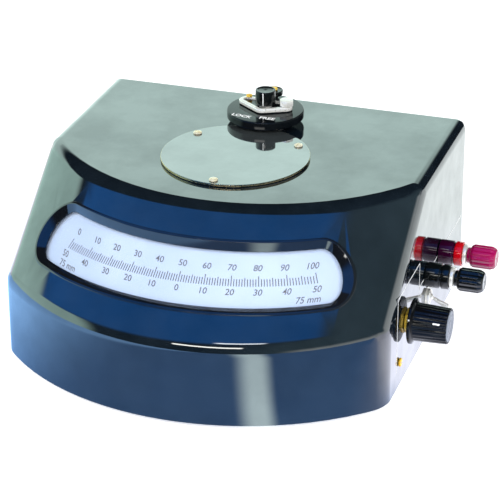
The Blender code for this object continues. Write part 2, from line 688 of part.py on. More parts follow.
def make_base_plate(finishes):
    """The plate that closes the case, with a lug for the side screw and a tab for the mirror."""
    inset = CASE_WALL + GAP
    half = HALF_WIDTH - inset
    across = [half * (2 * step / ARC_STEPS - 1) for step in range(ARC_STEPS + 1)]
    outline = [(x, band_y(x, inset)) for x in across]
    outline += [(half, BACK_Y - inset), (-half, BACK_Y - inset)]
    plate = make_object("base_plate", slab(outline, 0, PLATE_THICKNESS), finishes["steel"])
    lug_low = (INNER_FACE_X - LUG_THICKNESS, PANEL_SCREW_Y - LUG_WIDTH / 2, PLATE_THICKNESS / 2)
    lug_high = (INNER_FACE_X, PANEL_SCREW_Y + LUG_WIDTH / 2, LUG_HEIGHT)
    combine(plate, guide("lug", block(lug_low, lug_high)), "UNION")
    half_mirror = FIXED_MIRROR_WIDTH / 2
    tab_low = (-half_mirror, -GAP - MIRROR_TAB_THICKNESS, PLATE_THICKNESS / 2)
    tab = block(tab_low, (half_mirror, -GAP, LAMP_Z + FIXED_MIRROR_HEIGHT / 2))
    at, turned = fixed_mirror_place()
    combine(plate, guide("mirror_tab", tab, at, turned), "UNION")
    lug_middle = (INNER_FACE_X - LUG_THICKNESS / 2, PANEL_SCREW_Y, PANEL_SCREW_Z)
    hole_radius = SMALL_SCREW_RADIUS + GAP
    drill(plate, "lug_hole", hole_radius, lug_middle, LUG_THICKNESS + OVERRUN, ALONG_X, SMALL_SIDES)
    for name, x, y in foot_places():
        middle = (x, y, PLATE_THICKNESS / 2)
        drill(plate, f"plate_foot_hole_{name}", SCREW_RADIUS + GAP, middle, PLATE_THICKNESS + OVERRUN)


def make_feet(finishes):
    recess_top = FOOT_RECESS_DEPTH - STANDING_HEIGHT
    head_low = recess_top - GAP - SCREW_HEAD_HEIGHT
    bore = SCREW_RADIUS + GAP
    recess = SCREW_HEAD_RADIUS + GAP
    lower = FOOT_RADIUS - FOOT_WALL_GAP / 2
    profile = [(recess, -STANDING_HEIGHT), (lower, -STANDING_HEIGHT), (FOOT_RADIUS, -GAP), (bore, -GAP)]
    profile += [(bore, recess_top), (recess, recess_top)]
    head_top = head_low + SCREW_HEAD_HEIGHT
    tip = head_top + SCREW_LENGTH
    screw = [(0, head_low), (SCREW_HEAD_RADIUS, head_low), (SCREW_HEAD_RADIUS, head_top)]
    screw += [(SCREW_RADIUS, head_top), (SCREW_RADIUS, tip), (0, tip)]
    for name, x, y in foot_places():
        foot = spun(profile, ROUND_SIDES, shell=True)
        make_object(f"foot_{name}", foot, finishes["rubber"], (x, y, 0))
        make_object(f"foot_screw_{name}", spun(screw, SMALL_SIDES), finishes["steel"], (x, y, 0))


def make_window(finishes):
    """The funnel-shaped surround, the glass behind its lip and the scale behind the glass."""
    lip_back = BEZEL_LIP_DEPTH + BEZEL_LIP_THICKNESS
    section = [
        (0, -BEZEL_PROUD),
        (BEZEL_RIM_WIDTH, -BEZEL_PROUD),
        (BEZEL_INSET, BEZEL_LIP_DEPTH),
        (BEZEL_INSET, lip_back),
        (BEZEL_FRAME_INSET, lip_back),
        (BEZEL_FRAME_INSET, BEZEL_BACK_DEPTH),
        (-BEZEL_FLANGE_WIDTH, BEZEL_BACK_DEPTH),
        (-BEZEL_FLANGE_WIDTH, FLANGE_DEPTH),
        (0, FLANGE_DEPTH),
    ]
    surround = bmesh.new()
    joined_rings(surround, [window_ring(inset, depth) for inset, depth in section], True)
    make_object("window_bezel", surround, finishes["black_moulding"])
    inset = BEZEL_FRAME_INSET + GAP
    glass = window_slice(inset, GLASS_DEPTH, GLASS_DEPTH + GLASS_THICKNESS)
    make_object("window_glass", glass, finishes["glass"])
    scale = window_slice(inset, SCALE_DEPTH, SCALE_DEPTH + SCALE_THICKNESS)
    make_object("scale_plate", scale, finishes["scale_white"])


def headed(radius, length, head_radius, head_height, sides=SMALL_SIDES):
    """A headed fastener, its head standing on z = 0 and its shank below."""
    profile = [(0, -length), (radius, -length), (radius, 0)]
    profile += [(head_radius, 0), (head_radius, head_height), (0, head_height)]
    return spun(profile, sides)


def small_screw(length=SMALL_SCREW_LENGTH):
    return headed(SMALL_SCREW_RADIUS, length, SMALL_HEAD_RADIUS, SMALL_HEAD_HEIGHT)


def make_nameplate(finishes):
    low = TOP_Z + GAP
    high = low + NAMEPLATE_THICKNESS
    shape = cylinder(NAMEPLATE_RADIUS, 0, NAMEPLATE_THICKNESS, 2 * ROUND_SIDES)
    plate = make_object("nameplate", shape, finishes["nameplate_black"], (0, NAMEPLATE_Y, low))
    middle = (low + high) / 2
    hole = SMALL_SCREW_RADIUS + GAP
    through = NAMEPLATE_THICKNESS + OVERRUN
    for k, (x, y) in enumerate(nameplate_screw_places()):
        drill(plate, f"nameplate_hole_{k}", hole, (x, y, middle), through, sides=SMALL_SIDES)
        make_object(f"nameplate_screw_{k + 1}", small_screw(), finishes["brass"], (x, y, high + GAP))


def lever_outline(inset):
    """The lever seen from above: a nose at the front, and corners rounded on fixed centres."""
    corner_shares = ((-0.053, -1.0), (0.974, -0.048), (0.763, 0.619), (-0.842, 0.971), (-1.026, 0.286))
    corners = [Vector((LEVER_HALF_SPAN * x, LEVER_NOSE * y)) for x, y in corner_shares]
    outline = []
    for k, corner in enumerate(corners):
        after = corners[(k + 1) % len(corners)]
        first = (corner - corners[k - 1]).normalized().orthogonal()
        second = (after - corner).normalized().orthogonal()
        centre = corner + LEVER_CORNER_RADIUS * (first + second) / (1 + first.dot(second))
        for step in range(LEVER_CORNER_STEPS + 1):
            inward = first.lerp(second, step / LEVER_CORNER_STEPS).normalized()
            outline.append(centre - (LEVER_CORNER_RADIUS - inset) * inward)
    return outline


def make_suspension_tube(finishes):
    """The fixed tube with its flange on the case and its spigot through disc and lever."""
    tube_low = FRAME_BRIDGE_Z + FRAME_BRIDGE_THICKNESS + GAP
    flange_top = FLANGE_Z + TUBE_FLANGE_THICKNESS
    neck = SPINDLE_RADIUS + GAP
    profile = [(TUBE_BORE, tube_low), (TUBE_RADIUS, tube_low), (TUBE_RADIUS, FLANGE_Z)]
    profile += [(TUBE_FLANGE_RADIUS, FLANGE_Z), (TUBE_FLANGE_RADIUS, flange_top)]
    profile += [(SPIGOT_RADIUS, flange_top), (SPIGOT_RADIUS, SPIGOT_TOP_Z)]
    profile += [(neck, SPIGOT_TOP_Z), (neck, flange_top), (TUBE_BORE, flange_top)]
    shape = spun(profile, shell=True)
    made = make_object("suspension_tube", shape, finishes["brass"], (0, HEAD_Y, 0))
    flange_middle = (-CLAMP_OFFSET, HEAD_Y, (FLANGE_Z + flange_top) / 2)
    length = TUBE_FLANGE_THICKNESS + OVERRUN
    drill(made, "flange_hole", CLAMP_RADIUS + GAP, flange_middle, length, sides=SMALL_SIDES)


def make_head_disc(finishes):
    """The disc under the lever, and the capped pillar that stands on its back."""
    bore = SPIGOT_RADIUS + GAP
    edge = DISC_EDGE_RADIUS
    profile = [(bore, DISC_Z), (DISC_RADIUS, DISC_Z), (DISC_RADIUS, DISC_TOP_Z - edge)]
    profile += [(DISC_RADIUS - edge, DISC_TOP_Z), (bore, DISC_TOP_Z)]
    shape = spun(profile, 2 * ROUND_SIDES, shell=True)
    disc = make_object("head_disc", shape, finishes["black_moulding"], (0, HEAD_Y, 0))
    middle = (-CLAMP_OFFSET, HEAD_Y, (DISC_Z + DISC_TOP_Z) / 2)
    drill(disc, "disc_hole", CLAMP_RADIUS + GAP, middle, DISC_THICKNESS + OVERRUN, sides=SMALL_SIDES)

    cap_low = RIM_TOP_Z + PILLAR_CAP_LIFT
    cap_top = cap_low + PILLAR_CAP_THICKNESS
    hole = SMALL_SCREW_RADIUS + GAP
    hole_low = cap_top - SMALL_SCREW_LENGTH
    profile = [(0, DISC_TOP_Z + GAP), (PILLAR_RADIUS, DISC_TOP_Z + GAP), (PILLAR_RADIUS, cap_low)]
    profile += [(PILLAR_CAP_RADIUS, cap_low), (PILLAR_CAP_RADIUS, cap_top)]
    profile += [(hole, cap_top), (hole, hole_low), (0, hole_low)]
    at = (PILLAR_X, HEAD_Y + PILLAR_Y, 0)
    make_object("rear_pillar", spun(profile), finishes["black_plastic"], at)
    seat = (PILLAR_X, HEAD_Y + PILLAR_Y, cap_top + GAP)
    make_object("pillar_screw", small_screw(SMALL_SCREW_LENGTH - GAP), finishes["brass"], seat)


def make_lock_lever(finishes):
    """The lever's black hub and nickel rim, with the nut and the screw that stand on it."""
    turning = joint_axis("lock_axis", (0, HEAD_Y, 0))
    shape = slab(lever_outline(RIM_WIDTH + GAP), HUB_Z, HUB_TOP_Z)
    hub = make_object("lock_hub", shape, finishes["black_moulding"], parent=turning)
    hub_middle = (0, HEAD_Y, (HUB_Z + HUB_TOP_Z) / 2)
    drill(hub, "hub_bore", SPIGOT_RADIUS + GAP, hub_middle, HUB_THICKNESS + OVERRUN)
    shape = slab(lever_outline(0), RIM_LOW_Z, RIM_TOP_Z)
    rim = make_object("lock_rim", shape, finishes["nickel"], parent=turning)
    opening = slab(lever_outline(RIM_WIDTH), RIM_LOW_Z - OVERRUN, RIM_TOP_Z + OVERRUN)
    combine(rim, guide("rim_opening", opening, (0, HEAD_Y, 0)))
    middle_z = (RIM_LOW_Z + RIM_TOP_Z) / 2
    length = RIM_HEIGHT + 2 * OVERRUN
    shank = RIM_TOP_Z + GAP - HUB_Z
    for name, x, y in (("nut", LOCK_NUT_X, LOCK_NUT_Y), ("screw", LOCK_SCREW_X, LOCK_SCREW_Y)):
        hole = cylinder(SMALL_SCREW_RADIUS + GAP, -length / 2, length / 2, SMALL_SIDES)
        cutter = guide(f"lock_{name}_hole", hole, (x, HEAD_Y + y, middle_z))
        combine(hub, cutter)
        combine(rim, cutter)
    seat_z = RIM_TOP_Z + GAP
    shape = headed(SMALL_SCREW_RADIUS, shank, LOCK_NUT_RADIUS, LOCK_NUT_HEIGHT, HEX_SIDES)
    at = (LOCK_NUT_X, LOCK_NUT_Y, seat_z)
    make_object("lock_nut", shape, finishes["nickel"], at, parent=turning)
    shape = headed(SMALL_SCREW_RADIUS, shank, LOCK_SCREW_HEAD_RADIUS, LOCK_SCREW_HEAD_HEIGHT)
    at = (LOCK_SCREW_X, LOCK_SCREW_Y, seat_z)
    make_object("lock_screw", shape, finishes["brass"], at, parent=turning)


def make_zero_knob(finishes):
    """The knob, the spindle it turns and the strip that hangs the coil from the spindle."""
    turning = joint_axis("zero_axis", (0, HEAD_Y, 0))
    bore = SPINDLE_RADIUS + GAP
    cap_low = ZERO_KNOB_TOP_Z - ZERO_KNOB_CAP
    dish = ZERO_KNOB_TOP_Z - ZERO_KNOB_DISH
    inner = ZERO_KNOB_RADIUS - ZERO_KNOB_RIM
    profile = [(bore, ZERO_KNOB_Z), (ZERO_KNOB_RADIUS, ZERO_KNOB_Z), (ZERO_KNOB_RADIUS, dish)]
    profile += [(inner, ZERO_KNOB_TOP_Z), (0, dish), (0, cap_low), (bore, cap_low)]
    shape = spun(profile, shell=True)
    make_object("zero_knob", shape, finishes["black_plastic"], parent=turning)
    spindle_low = TOP_Z - CASE_WALL
    shape = cylinder(SPINDLE_RADIUS, spindle_low, cap_low - GAP, SMALL_SIDES)
    make_object("zero_spindle", shape, finishes["brass"], parent=turning)
    shape = cylinder(STRIP_RADIUS, MIRROR_TOP_Z + 2 * GAP, spindle_low - GAP, SMALL_SIDES // 2)
    make_object("upper_suspension", shape, finishes["copper"], parent=turning)


def make_clamp(finishes):
    """The rod that the lever works, with an arm over the coil's top bar."""
    travel = joint_axis("clamp_axis", (-CLAMP_OFFSET, HEAD_Y, 0))
    arm_low = COIL_TOP_Z + GAP + CLAMP_TRAVEL / 2
    rod_top = HUB_Z - GAP - CLAMP_TRAVEL / 2
    shape = cylinder(CLAMP_RADIUS, arm_low, rod_top, SMALL_SIDES)
    rod = make_object("clamp_rod", shape, finishes["steel"], parent=travel)
    near_y = HEAD_Y + COIL_STEM_RADIUS + GAP
    low = (-CLAMP_OFFSET, near_y, arm_low)
    high = (CLAMP_ARM_REACH, near_y + CLAMP_ARM_WIDTH, arm_low + CLAMP_ARM_THICKNESS)
    combine(rod, guide("clamp_arm", block(low, high)), "UNION")


def make_movement(finishes):
    """The frame, magnet, poles and core that stand still round the coil."""
    half = FRAME_SPAN / 2
    top = FRAME_BRIDGE_Z + FRAME_BRIDGE_THICKNESS
    low = (-half, HEAD_Y - FRAME_WIDTH / 2, FLOOR_Z)
    high = (half, HEAD_Y + FRAME_WIDTH / 2, top)
    frame = make_object("movement_frame", block(low, high), finishes["aluminium"])
    room_low = (FRAME_STRAP - half, HEAD_Y - FRAME_WIDTH, FLOOR_Z + FRAME_BASE_THICKNESS)
    room_high = (half - FRAME_STRAP, HEAD_Y + FRAME_WIDTH, FRAME_BRIDGE_Z)
    combine(frame, guide("frame_room", block(room_low, room_high)))
    bridge_middle = (FRAME_BRIDGE_Z + top) / 2
    through = FRAME_BRIDGE_THICKNESS + OVERRUN
    drill(frame, "bridge_hole", TUBE_BORE, (0, HEAD_Y, bridge_middle), through)
    rod_hole = CLAMP_RADIUS + GAP
    rod_middle = (-CLAMP_OFFSET, HEAD_Y, bridge_middle)
    drill(frame, "bridge_rod_hole", rod_hole, rod_middle, through, sides=SMALL_SIDES)

    half = MAGNET_SPAN / 2
    low = (-half, HEAD_Y - MAGNET_DEPTH / 2, MAGNET_Z)
    high = (half, HEAD_Y + MAGNET_DEPTH / 2, MAGNET_TOP_Z)
    magnet = make_object("magnet", block(low, high), finishes["magnet_steel"])
    inner = half - MAGNET_LEG
    room_low = (-inner, HEAD_Y - MAGNET_DEPTH, MAGNET_Z + MAGNET_YOKE)
    room_high = (inner, HEAD_Y + MAGNET_DEPTH, MAGNET_TOP_Z + OVERRUN)
    combine(magnet, guide("magnet_room", block(room_low, room_high)))

    pole_low_z = COIL_MIDDLE_Z - POLE_HEIGHT / 2
    pole_high_z = COIL_MIDDLE_Z + POLE_HEIGHT / 2
    depth = MAGNET_DEPTH / 2
    bore = (0, HEAD_Y, COIL_MIDDLE_Z)
    for side, name in ((-1, "left"), (1, "right")):
        ends = (side * POLE_TIP_X, side * (inner - GAP))
        low = (min(ends), HEAD_Y - depth, pole_low_z)
        high = (max(ends), HEAD_Y + depth, pole_high_z)
        pole = make_object(f"pole_piece_{name}", block(low, high), finishes["magnet_steel"])
        drill(pole, f"pole_bore_{name}", POLE_BORE_RADIUS, bore, POLE_HEIGHT + OVERRUN)

    core_low = COIL_MIDDLE_Z - CORE_HEIGHT / 2
    shape = cylinder(CORE_RADIUS, core_low, core_low + CORE_HEIGHT)
    core = make_object("iron_core", shape, finishes["magnet_steel"], (0, HEAD_Y, 0))
    strap_y = HEAD_Y + depth + GAP
    arm_half = CORE_ARM_WIDTH / 2
    arm_z = CORE_ARM_HEIGHT / 2
    arm_low = (-arm_half, HEAD_Y + CORE_RADIUS / 2, COIL_MIDDLE_Z - arm_z)
    arm_high = (arm_half, strap_y + CORE_STRAP_THICKNESS / 2, COIL_MIDDLE_Z + arm_z)
    combine(core, guide("core_arm", block(arm_low, arm_high)), "UNION")
    strap_low = (-CORE_STRAP_LENGTH / 2, strap_y, COIL_MIDDLE_Z - arm_z)
    strap_high = (CORE_STRAP_LENGTH / 2, strap_y + CORE_STRAP_THICKNESS, COIL_MIDDLE_Z + arm_z)
    combine(core, guide("core_strap", block(strap_low, strap_high)), "UNION")


def make_coil(finishes):
    """The moving coil on its stem, with the small mirror, and the strip below it."""
    swing = joint_axis("coil_axis", (0, HEAD_Y, 0))
    half = COIL_SPAN / 2
    depth = COIL_DEPTH / 2
    shape = block((-half, -depth, COIL_BOTTOM_Z), (half, depth, COIL_TOP_Z))
    coil = make_object("moving_coil", shape, finishes["copper"], parent=swing)
    inner = half - COIL_BAND
    room_low = (-inner, HEAD_Y - COIL_DEPTH, COIL_BOTTOM_Z + COIL_BAND)
    room_high = (inner, HEAD_Y + COIL_DEPTH, COIL_TOP_Z - COIL_BAND)
    combine(coil, guide("coil_room", block(room_low, room_high)))
    stem_low = COIL_BOTTOM_Z - COIL_STEM_LOWER
    stem_root = COIL_TOP_Z - COIL_BAND / 2
    upper = cylinder(COIL_STEM_RADIUS, stem_root, MIRROR_TOP_Z + GAP, SMALL_SIDES // 2)
    combine(coil, guide("coil_stem_upper", upper, (0, HEAD_Y, 0)), "UNION")
    stem_root = COIL_BOTTOM_Z + COIL_BAND / 2
    lower = cylinder(COIL_STEM_RADIUS, stem_low, stem_root, SMALL_SIDES // 2)
    combine(coil, guide("coil_stem_lower", lower, (0, HEAD_Y, 0)), "UNION")
    back = -COIL_STEM_RADIUS - GAP
    low = (-MIRROR_WIDTH / 2, back - MIRROR_THICKNESS, MIRROR_MIDDLE_Z - MIRROR_HEIGHT / 2)
    high = (MIRROR_WIDTH / 2, back, MIRROR_TOP_Z)
    make_object("coil_mirror", block(low, high), finishes["silvered_glass"], parent=swing)
    strip_low = MAGNET_Z + MAGNET_YOKE + GAP
    strip = cylinder(STRIP_RADIUS, strip_low, stem_low - GAP, SMALL_SIDES // 2)
    make_object("lower_suspension", strip, finishes["copper"], (0, HEAD_Y, 0))


def make_lamp(finishes):
    """The lamp house on its stand, the socket in its back, the bulb and the lens."""
    at = (LAMP_X, 0, LAMP_Z)
    inner = LAMP_HOUSE_RADIUS - LAMP_HOUSE_WALL
    back_low = LAMP_BACK_Y - LAMP_HOUSE_WALL
    hole = SOCKET_RADIUS + GAP
    profile = [(inner, LAMP_FRONT_Y), (LAMP_HOUSE_RADIUS, LAMP_FRONT_Y)]
    profile += [(LAMP_HOUSE_RADIUS, LAMP_BACK_Y), (hole, LAMP_BACK_Y), (hole, back_low), (inner, back_low)]
    shape = spun(profile, shell=True)
    house = make_object("lamp_house", shape, finishes["black_plastic"], at, ALONG_Y)
    stand_y = (LAMP_FRONT_Y + LAMP_BACK_Y) / 2
    low = (LAMP_X - LAMP_STAND_WIDTH / 2, stand_y - LAMP_STAND_LENGTH / 2, FLOOR_Z)
    sink = LAMP_HOUSE_RADIUS - math.sqrt(LAMP_HOUSE_RADIUS**2 - LAMP_STAND_WIDTH**2 / 4)
    stand_top = LAMP_Z - LAMP_HOUSE_RADIUS + sink + GAP
    high = (LAMP_X + LAMP_STAND_WIDTH / 2, stand_y + LAMP_STAND_LENGTH / 2, stand_top)
    stand = guide("lamp_stand", block(low, high))
    combine(stand, guide("lamp_stand_room", cylinder(inner, LAMP_FRONT_Y, LAMP_BACK_Y), at, ALONG_Y))
    combine(house, stand, "UNION")

    flange_low = LAMP_BACK_Y + GAP
    flange_high = flange_low + SOCKET_FLANGE_THICKNESS
    mouth = flange_low - SOCKET_LENGTH
    floor = flange_low - SOCKET_FLANGE_THICKNESS / 2
    profile = [(SOCKET_BORE, mouth), (SOCKET_RADIUS, mouth), (SOCKET_RADIUS, flange_low)]
    profile += [(inner, flange_low), (inner, flange_high), (0, flange_high), (0, floor), (SOCKET_BORE, floor)]
    make_object("lamp_socket", spun(profile, shell=True), finishes["board_brown"], at, ALONG_Y)

    cap_end = floor - GAP
    tip = cap_end - BULB_LENGTH
    neck = mouth - GAP
    middle = tip + BULB_RADIUS
    profile = [(0, cap_end), (BULB_CAP_RADIUS, cap_end), (BULB_CAP_RADIUS, neck)]
    quarter = [math.pi / 2 * k / 4 for k in range(4)]
    profile += [(BULB_RADIUS * math.cos(turn), middle - BULB_RADIUS * math.sin(turn)) for turn in quarter]
    profile.append((0, tip))
    make_object("lamp_bulb", spun(profile), finishes["glass"], at, ALONG_Y)

    radius = inner - GAP
    lens_front = LAMP_FRONT_Y + LENS_SETBACK
    lens_back = lens_front + LENS_EDGE
    bulge = LENS_THICKNESS - LENS_EDGE
    profile = [(0, lens_front), (radius, lens_front), (radius, lens_back)]
    for k in range(1, 4):
        share = 1 - k / 4
        profile.append((radius * share, lens_back + bulge * (1 - share * share)))
    profile.append((0, lens_front + LENS_THICKNESS))
    make_object("condenser_lens", spun(profile), finishes["glass"], at, ALONG_Y)

    half = FIXED_MIRROR_WIDTH / 2
    half_height = FIXED_MIRROR_HEIGHT / 2
    glass = block((-half, 0, LAMP_Z - half_height), (half, FIXED_MIRROR_THICKNESS, LAMP_Z + half_height))
    make_object("fixed_mirror", glass, finishes["silvered_glass"], *fixed_mirror_place())


def make_transformer(finishes):
    """A laminated core with two windows and a winding round its middle limb."""
    middle = Vector((TRANSFORMER_X, TRANSFORMER_Y, FLOOR_Z + CORE_PLATE_HEIGHT / 2))
    half = Vector((CORE_PLATE_WIDTH, CORE_STACK, CORE_PLATE_HEIGHT)) / 2
    core = make_object("transformer_core", block(middle - half, middle + half), finishes["laminated_iron"])
    for side in (-1, 1):
        centre = middle + Vector((side * (CORE_LIMB + CORE_WINDOW_WIDTH) / 2, 0, 0))
        room = Vector((CORE_WINDOW_WIDTH, CORE_STACK + OVERRUN, CORE_WINDOW_HEIGHT)) / 2
        combine(core, guide(f"core_window_{side}", block(centre - room, centre + room)))
    clear = Vector((CORE_LIMB / 2 + GAP, CORE_STACK / 2 + GAP, CORE_WINDOW_HEIGHT / 2 - GAP))
    outer = clear + Vector((WINDING_THICKNESS, WINDING_THICKNESS, 0))
    winding = make_object("transformer_winding", block(middle - outer, middle + outer), finishes["copper"])
    clear.z += OVERRUN
    combine(winding, guide("winding_room", block(middle - clear, middle + clear)))


def make_range_switch(finishes):
    """The switch inside the wall, its nut outside, and the knob on its spindle."""
    at = (0, RANGE_Y, RANGE_Z)
    bore = RANGE_SPINDLE_RADIUS + GAP
    low = INNER_FACE_X - SWITCH_LENGTH
    floor = low + CASE_WALL
    reach = HALF_WIDTH + BUSH_REACH
    profile = [(0, low), (SWITCH_RADIUS, low), (SWITCH_RADIUS, INNER_FACE_X), (BUSH_RADIUS, INNER_FACE_X)]
    profile += [(BUSH_RADIUS, reach), (bore, reach), (bore, floor), (0, floor)]
    make_object("range_switch", spun(profile, shell=True), finishes["board_brown"], at, ALONG_X)
    nut_end = WALL_FACE_X + RANGE_NUT_THICKNESS
    shape = cylinder(RANGE_NUT_RADIUS, WALL_FACE_X, nut_end, HEX_SIDES)
    nut = make_object("range_nut", shape, finishes["brass"], at, ALONG_X)
    nut_middle = ((WALL_FACE_X + nut_end) / 2, RANGE_Y, RANGE_Z)
    drill(nut, "nut_bore", BUSH_RADIUS + GAP, nut_middle, RANGE_NUT_THICKNESS + OVERRUN, ALONG_X)

    turning = joint_axis("range_axis", at)
    skirt = HALF_WIDTH + KNOB_STANDOFF
    skirt_end = skirt + SKIRT_THICKNESS
    end = HALF_WIDTH + KNOB_REACH
    spindle_end = HALF_WIDTH + SPINDLE_REACH
    hollow = spindle_end + GAP
    recess = end - CAP_THICKNESS
    profile = [(bore, skirt), (SKIRT_RADIUS, skirt), (SKIRT_RADIUS, skirt_end), (KNOB_BASE_RADIUS, skirt_end)]
    profile += [(KNOB_END_RADIUS, end), (CAP_RADIUS, end), (CAP_RADIUS, recess), (0, recess)]
    profile += [(0, hollow), (bore, hollow)]
    knob = spun(profile, 2 * KNOB_FLUTES, shell=True)
    grip = ring_vertices(knob, CAP_RADIUS + GAP, SKIRT_RADIUS - GAP)
    press_flutes(grip, skirt_end, end, KNOB_FLUTES, KNOB_FLUTE_DEPTH)
    make_object("range_knob", knob, finishes["black_plastic"], turned=ALONG_X, parent=turning)
    cap = cylinder(CAP_RADIUS - GAP, recess + GAP, end + GAP)
    make_object("range_knob_cap", cap, finishes["aluminium"], turned=ALONG_X, parent=turning)
    shaft = cylinder(RANGE_SPINDLE_RADIUS, floor + GAP, spindle_end, SMALL_SIDES)
    make_object("range_spindle", shaft, finishes["steel"], turned=ALONG_X, parent=turning)


def ring_vertices(shape, inner, outer):
    """The vertices of a turned solid whose radius lies between two others."""
    return [vertex for vertex in shape.verts if inner < math.hypot(vertex.co.x, vertex.co.y) < outer]


def press_flutes(vertices, low, high, count, depth):
    """Move the side of a turned solid in and out to make its finger grooves."""
    for vertex in vertices:
        if not low - GAP < vertex.co.z < high + GAP:
            continue
        radius = math.hypot(vertex.co.x, vertex.co.y)
        angle = math.atan2(vertex.co.y, vertex.co.x)
        share = 1 - depth * (1 - math.cos(count * angle)) / 2 / radius
        vertex.co.x *= share
        vertex.co.y *= share


def make_terminal(name, finishes):
    """A screw terminal: collar, stud through the wall, clamp ring and fluted head."""
    at = (HALF_WIDTH, TERMINAL_Y[name], TERMINAL_Z)
    colour = finishes["red_plastic"] if name == "red" else finishes["black_plastic"]
    bore = STUD_RADIUS + GAP
    groove_low = GAP + COLLAR_GROOVE_PLACE
    groove_high = groove_low + COLLAR_GROOVE_WIDTH
    waist = COLLAR_RADIUS - COLLAR_GROOVE_DEPTH
    profile = [(bore, GAP), (COLLAR_RADIUS, GAP), (COLLAR_RADIUS, groove_low), (waist, groove_low)]
    profile += [(waist, groove_high), (COLLAR_RADIUS, groove_high)]
    profile += [(COLLAR_RADIUS, COLLAR_END), (bore, COLLAR_END)]
    make_object(f"{name}_collar", spun(profile, shell=True), colour, at, ALONG_X)

    nut_high = -CASE_WALL - GAP
    nut_low = nut_high - STUD_NUT_THICKNESS
    stud_end = HEAD_END - TERMINAL_HEAD_LENGTH / 2
    profile = [(0, nut_low - STUD_TAIL), (STUD_RADIUS, nut_low - STUD_TAIL), (STUD_RADIUS, nut_low)]
    profile += [(STUD_NUT_RADIUS, nut_low), (STUD_NUT_RADIUS, nut_high), (STUD_RADIUS, nut_high)]
    profile += [(STUD_RADIUS, stud_end), (0, stud_end)]
    make_object(f"{name}_stud", spun(profile, SMALL_SIDES), finishes["nickel"], at, ALONG_X)

    moving = joint_axis(f"{name}_terminal_axis", at)
    ring = tube(CLAMP_RING_RADIUS, bore, RING_START, RING_START + CLAMP_RING_THICKNESS)
    make_object(f"{name}_clamp_ring", ring, finishes["nickel"], turned=ALONG_X, parent=moving)
    shoulder = HEAD_START + TERMINAL_NECK_LENGTH
    crown = HEAD_END - (TERMINAL_HEAD_RADIUS - TERMINAL_END_RADIUS)
    hollow = stud_end + GAP
    profile = [(bore, HEAD_START), (TERMINAL_NECK_RADIUS, HEAD_START), (TERMINAL_NECK_RADIUS, shoulder)]
    profile += [(TERMINAL_HEAD_RADIUS, shoulder), (TERMINAL_HEAD_RADIUS, crown)]
    profile += [(TERMINAL_END_RADIUS, HEAD_END), (0, HEAD_END), (0, hollow), (bore, hollow)]
    head = spun(profile, 2 * TERMINAL_FLUTES, shell=True)
    grip = ring_vertices(head, TERMINAL_END_RADIUS + GAP, math.inf)
    press_flutes(grip, shoulder, crown, TERMINAL_FLUTES, TERMINAL_FLUTE_DEPTH)
    make_object(f"{name}_head", head, colour, turned=ALONG_X, parent=moving)


def make_toggle(finishes):
    """The lamp switch: body inside the wall, nut outside and a lever tilted down."""
    inside = -CASE_WALL - GAP
    bore = TOGGLE_BALL_RADIUS + GAP
    at = (HALF_WIDTH, TOGGLE_Y, TOGGLE_Z)
    bush = tube(TOGGLE_BUSH_RADIUS, bore, inside - OVERRUN, TOGGLE_BUSH_REACH)
    body = make_object("toggle_body", bush, finishes["nickel"], at, ALONG_X)
    half = Vector((TOGGLE_BODY_LENGTH, TOGGLE_BODY_WIDTH, TOGGLE_BODY_HEIGHT)) / 2
    middle = Vector((HALF_WIDTH + inside - TOGGLE_BODY_LENGTH / 2, TOGGLE_Y, TOGGLE_Z))
    combine(body, guide("toggle_case", block(middle - half, middle + half)), "UNION")
    nut_end = WALL_FACE_X + TOGGLE_NUT_THICKNESS
    shape = cylinder(TOGGLE_NUT_RADIUS, WALL_FACE_X, nut_end, HEX_SIDES)
    nut = make_object("toggle_nut", shape, finishes["nickel"], (0, TOGGLE_Y, TOGGLE_Z), ALONG_X)
    nut_middle = ((WALL_FACE_X + nut_end) / 2, TOGGLE_Y, TOGGLE_Z)
    length = TOGGLE_NUT_THICKNESS + OVERRUN
    drill(nut, "toggle_nut_bore", TOGGLE_BUSH_RADIUS + GAP, nut_middle, length, ALONG_X)

    rocking = joint_axis("toggle_axis", (HALF_WIDTH + TOGGLE_PIVOT_REACH, TOGGLE_Y, TOGGLE_Z))
    ball = TOGGLE_BALL_RADIUS
    turns = [math.pi * (k / BALL_STEPS - 1 / 2) for k in range(1, BALL_STEPS - 1)]
    profile = [(0, -ball)]
    profile += [(ball * math.cos(turn), ball * math.sin(turn)) for turn in turns]
    tip = TOGGLE_LEVER_LENGTH
    crown = tip - TOGGLE_TIP_RADIUS / 2
    profile += [(TOGGLE_LEVER_RADIUS, ball), (TOGGLE_TIP_RADIUS, crown)]
    profile += [(TOGGLE_TIP_RADIUS / 2, tip), (0, tip)]
    tilted = (0, math.pi / 2 + TOGGLE_TILT, 0)
    shape = spun(profile, SMALL_SIDES)
    make_object("toggle_lever", shape, finishes["nickel"], turned=tilted, parent=rocking)


def make_panel_screw(finishes):
    at = (WALL_FACE_X, PANEL_SCREW_Y, PANEL_SCREW_Z)
    shape = small_screw(CASE_WALL + LUG_THICKNESS)
    make_object("panel_screw", shape, finishes["brass"], at, ALONG_X)


